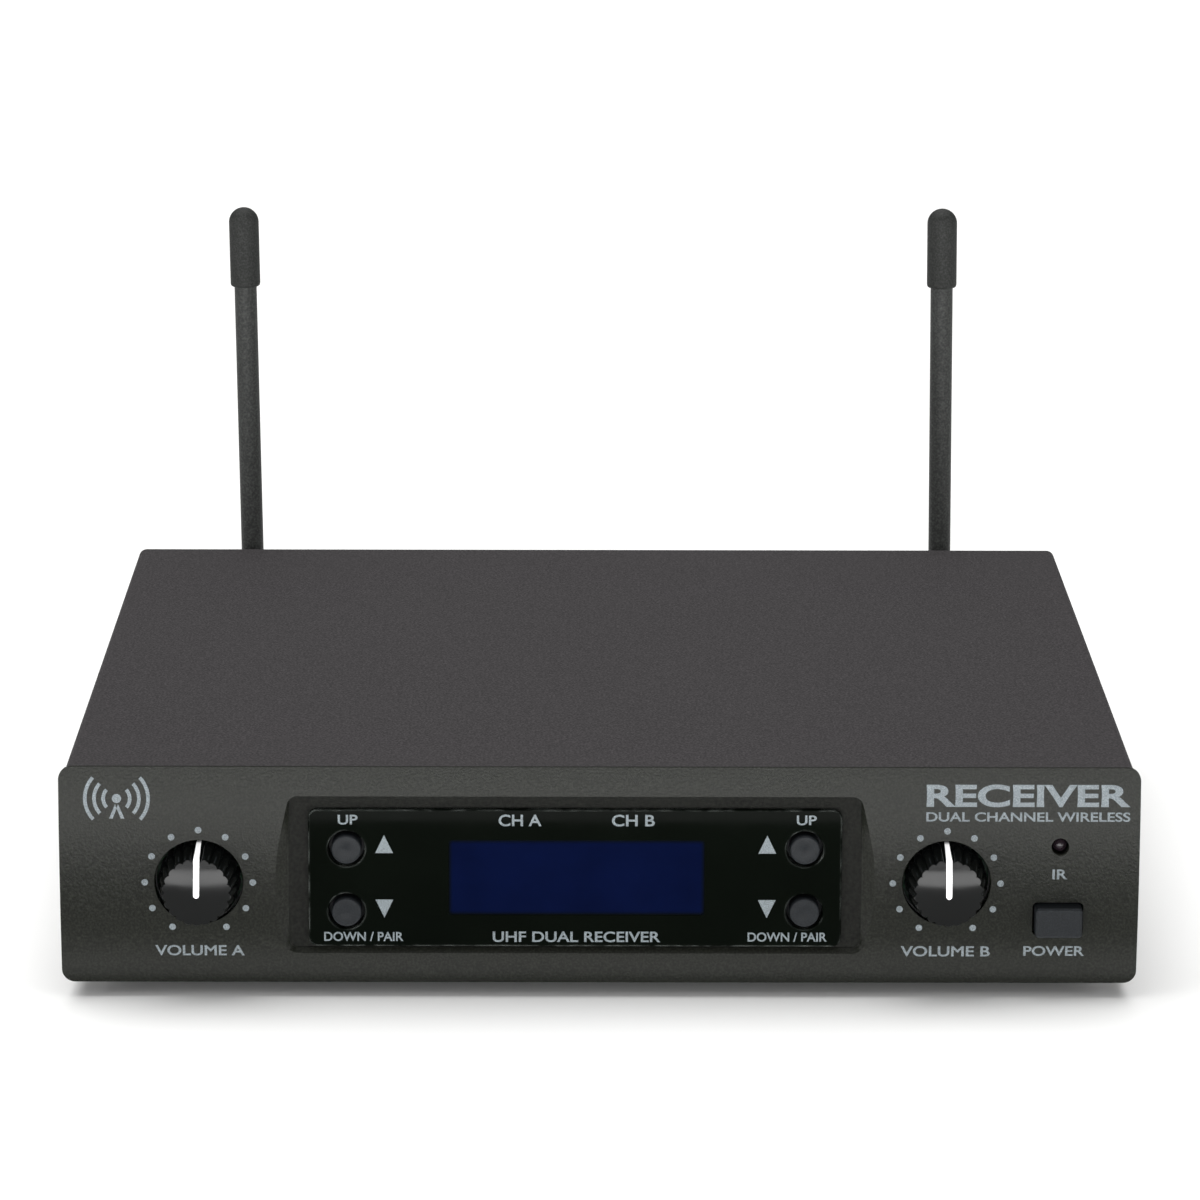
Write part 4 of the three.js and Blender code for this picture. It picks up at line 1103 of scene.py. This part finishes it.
def output_sockets():
    """Round noses with a key slot, a flange behind the rear sheet, an insert and three pins."""
    for channel in CHANNELS:
        low, high, mid = span("output_socket_" + channel)
        mouth = high.y
        tip = span("output_pins_" + channel)[1].y
        floor = tip - PIN_LENGTH
        bore = [(0, floor - 5.9), (SOCKET_BORE, floor - 5.9), (SOCKET_BORE, mouth - 0.5)]
        lip = [(9.55, mouth - 0.15), (9.9, mouth), (11.2, mouth), (11.55, mouth - 0.15)]
        outside = [(SOCKET_NOSE, mouth - 0.5), (SOCKET_NOSE, low.y), (0, low.y)]
        nose = lathe(bore + lip + outside, xz(mid), "y", 128)
        back = REAR - SHEET - 0.2
        flange = plate(low.x, high.x, low.z, high.z, 2, back - 3, back, 0.2, 0.2)
        join(nose, cut(flange, rod(11, back - 5, back + 1, xz(mid))))
        cut(nose, block(around(mid.x, 1.3), (floor + 3, mouth + 1), (mid.z + 9.0, mid.z + 10.3)))
        piece(nose, "socket_nose_" + channel, "black_plastic", "output_socket_" + channel)
        profile = [(0, floor - 5.6), (9.15, floor - 5.6), (9.15, floor - 0.3), (8.9, floor), (0, floor)]
        piece(lathe(profile, xz(mid)), "socket_insert_" + channel, "black_plastic")
        shaft = [(0, floor - 8), (PIN_RADIUS, floor - 8)]
        end = [(PIN_RADIUS, tip - 0.8), (1.05, tip - 0.35), (0.7, tip - 0.08), (0, tip)]
        pins = []
        for angle in (radians(degrees) for degrees in (150, 30, 270)):
            place = (mid.x + PIN_CIRCLE * cos(angle), mid.z + PIN_CIRCLE * sin(angle))
            pins.append(lathe(shaft + end, place, "y", 40))
        piece(gather(pins), "socket_pins_" + channel, "nickel", "output_pins_" + channel)


def hexagon_nut(node, name, across, hole):
    """Nut with rounded outer corners and a chamfered hole."""
    low, high, mid = span(node)
    corner, half = across / sqrt(3), across / 2
    turns = [pi / 3 * i for i in range(6)]
    outline = [(mid.x + corner * sin(t), mid.z + corner * cos(t)) for t in turns]
    nut = loft([[(x, y, z) for x, z in outline] for y in (low.y, high.y)])
    wide, back = corner + 1, low.y - 1
    crown = [(0, back), (wide, back), (wide, high.y - 0.75), (half - 0.2, high.y), (0, high.y)]
    combine(nut, "INTERSECT", lathe(crown, xz(mid)))
    cut(nut, countersunk_back(hole, 0.3, high.y, xz(mid)))
    piece(nut, name, "nickel", node)


def countersunk_back(radius, chamfer, face, centre):
    """Cutter for a round hole with a chamfered mouth in a face that looks towards +Y."""
    hole = [(0, face - 8), (radius, face - 8), (radius, face - chamfer)]
    mouth = [(radius + chamfer, face), (radius + chamfer, face + 1), (0, face + 1)]
    return lathe(hole + mouth, centre)


def mix_jack():
    """Jack body behind the rear sheet, with a round bush through it and a nut on the bush."""
    low, high, mid = span("mix_output_jack")
    bush, bore = 4.6, 3.25
    body = block((low.x, high.x), (low.y, REAR - SHEET - 0.2), (low.z, high.z))
    bevel(body, 0.4, 3)
    sleeve = [(0, REAR - 3), (bush, REAR - 3), (bush, high.y - 0.5), (bush - 0.2, high.y - 0.15)]
    join(body, lathe(sleeve + [(bush - 0.5, high.y), (0, high.y)], xz(mid)))
    mouth = countersunk_back(bore, 0.35, high.y, xz(mid))
    cut(body, mouth, rod(bore, REAR - 20, REAR, xz(mid), count=96))
    piece(body, "jack_body", "black_plastic", "mix_output_jack")
    hexagon_nut("mix_output_nut", "jack_nut", 13, bush + 0.25)


def power_inlet():
    low, high, mid = span("power_inlet")
    body = block((low.x, high.x), (low.y, high.y), (low.z, high.z))
    bevel(body, 0.35, 3)
    cut(body, countersunk_back(3.1, 0.4, high.y, xz(mid)))
    piece(body, "inlet_body", "black_plastic", "power_inlet")
    radius, back = 1.05, REAR - 9
    profile = [(0, back), (radius, back), (radius, REAR - 0.6), (0.8, REAR - 0.2), (0.4, REAR), (0, REAR)]
    piece(lathe(profile, xz(mid), "y", 48), "inlet_contact", "nickel")


# ------------ antennas


def antenna_place(channel):
    """Matrix from the antenna's own frame (origin on the hinge pin, Z up the rod) to the row frame."""
    joint = JOINTS["antenna_tilt_" + channel]
    axis = Vector(joint["axis"])
    lean = atan2(axis.z, -axis.x)
    return Matrix.Translation(Vector(joint["pos_m"]) / MM) @ Matrix.Rotation(lean, 4, "Y")


# Outside face of the rear sheet as seen from the hinge pin, and sizes of the fork and the rod.
ANTENNA_WALL = -12.5
BUSH_RADIUS, COLLAR_RADIUS = 2.65, 6.0
EAR_RADIUS = 4.6
PIN_HOLE = 1.25
ROD_RADIUS, CAP_RADIUS = 2.55, 3.4
CAP_FROM, CAP_TO = 70.8, 89.0
ORIGIN = (0, 0)


def antenna_base(channel, place):
    """Collar on its bush, with a fork of two ears and the hinge pin through them."""
    wall = ANTENNA_WALL
    bush = [(0, wall - 5), (BUSH_RADIUS, wall - 5), (BUSH_RADIUS, wall + 4.2)]
    collar = [(5.6, wall + 4.2), (5.88, wall + 4.35), (COLLAR_RADIUS, wall + 4.7)]
    collar += [(COLLAR_RADIUS, wall + 8.1), (0, wall + 8.1)]
    base = lathe(bush + collar, ORIGIN)
    ears = []
    for side in (-1, 1):
        xs = sorted((side * 2.85, side * 6.5))
        ear = rod(EAR_RADIUS, *xs, ORIGIN, "x", 96)
        ears.append(join(ear, block(xs, (wall + 7.5, 0), (-EAR_RADIUS, EAR_RADIUS))))
    fork = combine(gather(ears), "INTERSECT", rod(COLLAR_RADIUS - 0.05, wall + 7, 8, ORIGIN, count=96))
    join(base, fork)
    cut(base, rod(PIN_HOLE, -8, 8, ORIGIN, "x", 48))
    bevel(base, 0.22, 3, 45)
    moved(base, place)
    body = "antenna_base_" + channel
    piece(base, "antenna_fork_" + channel, "antenna_plastic", "antenna_collar_" + channel, body=body)
    half, radius, chamfer = 5.2, 0.95, 0.25
    near = [(0, -half), (radius - chamfer, -half), (radius, -half + chamfer)]
    far = [(radius, half - chamfer), (radius - chamfer, half), (0, half)]
    pin = moved(lathe(near + far, ORIGIN, "x", 40), place)
    piece(pin, "antenna_hinge_pin_" + channel, "nickel", "antenna_pin_" + channel, body=body)


def antenna_whip(channel, place):
    """Rod with a tang between the ears, and a rounded rubber cap on its end."""
    body, end = "antenna_whip_" + channel, CAP_TO - 5
    profile = [(0, 2), (ROD_RADIUS, 3.5), (ROD_RADIUS, CAP_FROM + 1), (ROD_RADIUS - 0.05, end), (0, end)]
    shaft = lathe(profile, ORIGIN, "z", 64)
    tang = lathe([(0, -2.5), (3.45, -2.5), (3.7, -2.25), (3.7, 2.25), (3.45, 2.5), (0, 2.5)], ORIGIN, "x", 64)
    join(tang, block((-2.5, 2.5), (-2.5, 2.5), (0, 4.5)))
    join(shaft, tang)
    cut(shaft, rod(PIN_HOLE + 0.05, -8, 8, ORIGIN, "x", 40))
    moved(shaft, place)
    piece(shaft, "antenna_whip_rod_" + channel, "antenna_plastic", "antenna_rod_" + channel, body=body)
    turns = [pi / 2 * i / 12 for i in range(12)]
    centre = CAP_TO - CAP_RADIUS
    dome = [(CAP_RADIUS * cos(t), centre + CAP_RADIUS * sin(t)) for t in turns]
    mouth = [(0, CAP_TO - 4.6), (2.7, CAP_TO - 4.6), (2.7, CAP_FROM), (2.85, CAP_FROM)]
    mouth += [(CAP_RADIUS - 0.35, CAP_FROM + 0.06), (CAP_RADIUS - 0.1, CAP_FROM + 0.3)]
    mouth.append((CAP_RADIUS, CAP_FROM + 0.75))
    cap = moved(lathe(mouth + dome + [(0, CAP_TO)], ORIGIN, "z", 64), place)
    piece(cap, "antenna_tip_" + channel, "rubber", "antenna_cap_" + channel, body=body)


def antennas():
    for channel in CHANNELS:
        place = antenna_place(channel)
        antenna_base(channel, place)
        antenna_whip(channel, place)
        hexagon_nut("antenna_nut_" + channel, "antenna_lock_nut_" + channel, 12, 4.6)


# ------------ pieces inside the case


def carried_over():
    """CAD nodes whose shape is kept get their material and clean shading."""
    slots = {row["node"]: row["material_slot"] for row in frame["record"]["subparts"]}
    for name, node in frame["nodes"].items():
        if node.hide_render:
            continue
        node.data.materials.clear()
        node.data.materials.append(MATERIALS[slots[name]])
        shade(node.data)


# ------------ the whole scene

add_camera()
add_floor()
add_lights()
for build in (front_panel, display_lens, keys, power_key, sensor, knobs, panel_print, lens_print, rear_print):
    build()
for build in (top_cover, screws, chassis, rear_wall, feet, output_sockets, mix_jack, power_inlet, antennas):
    build()
carried_over()
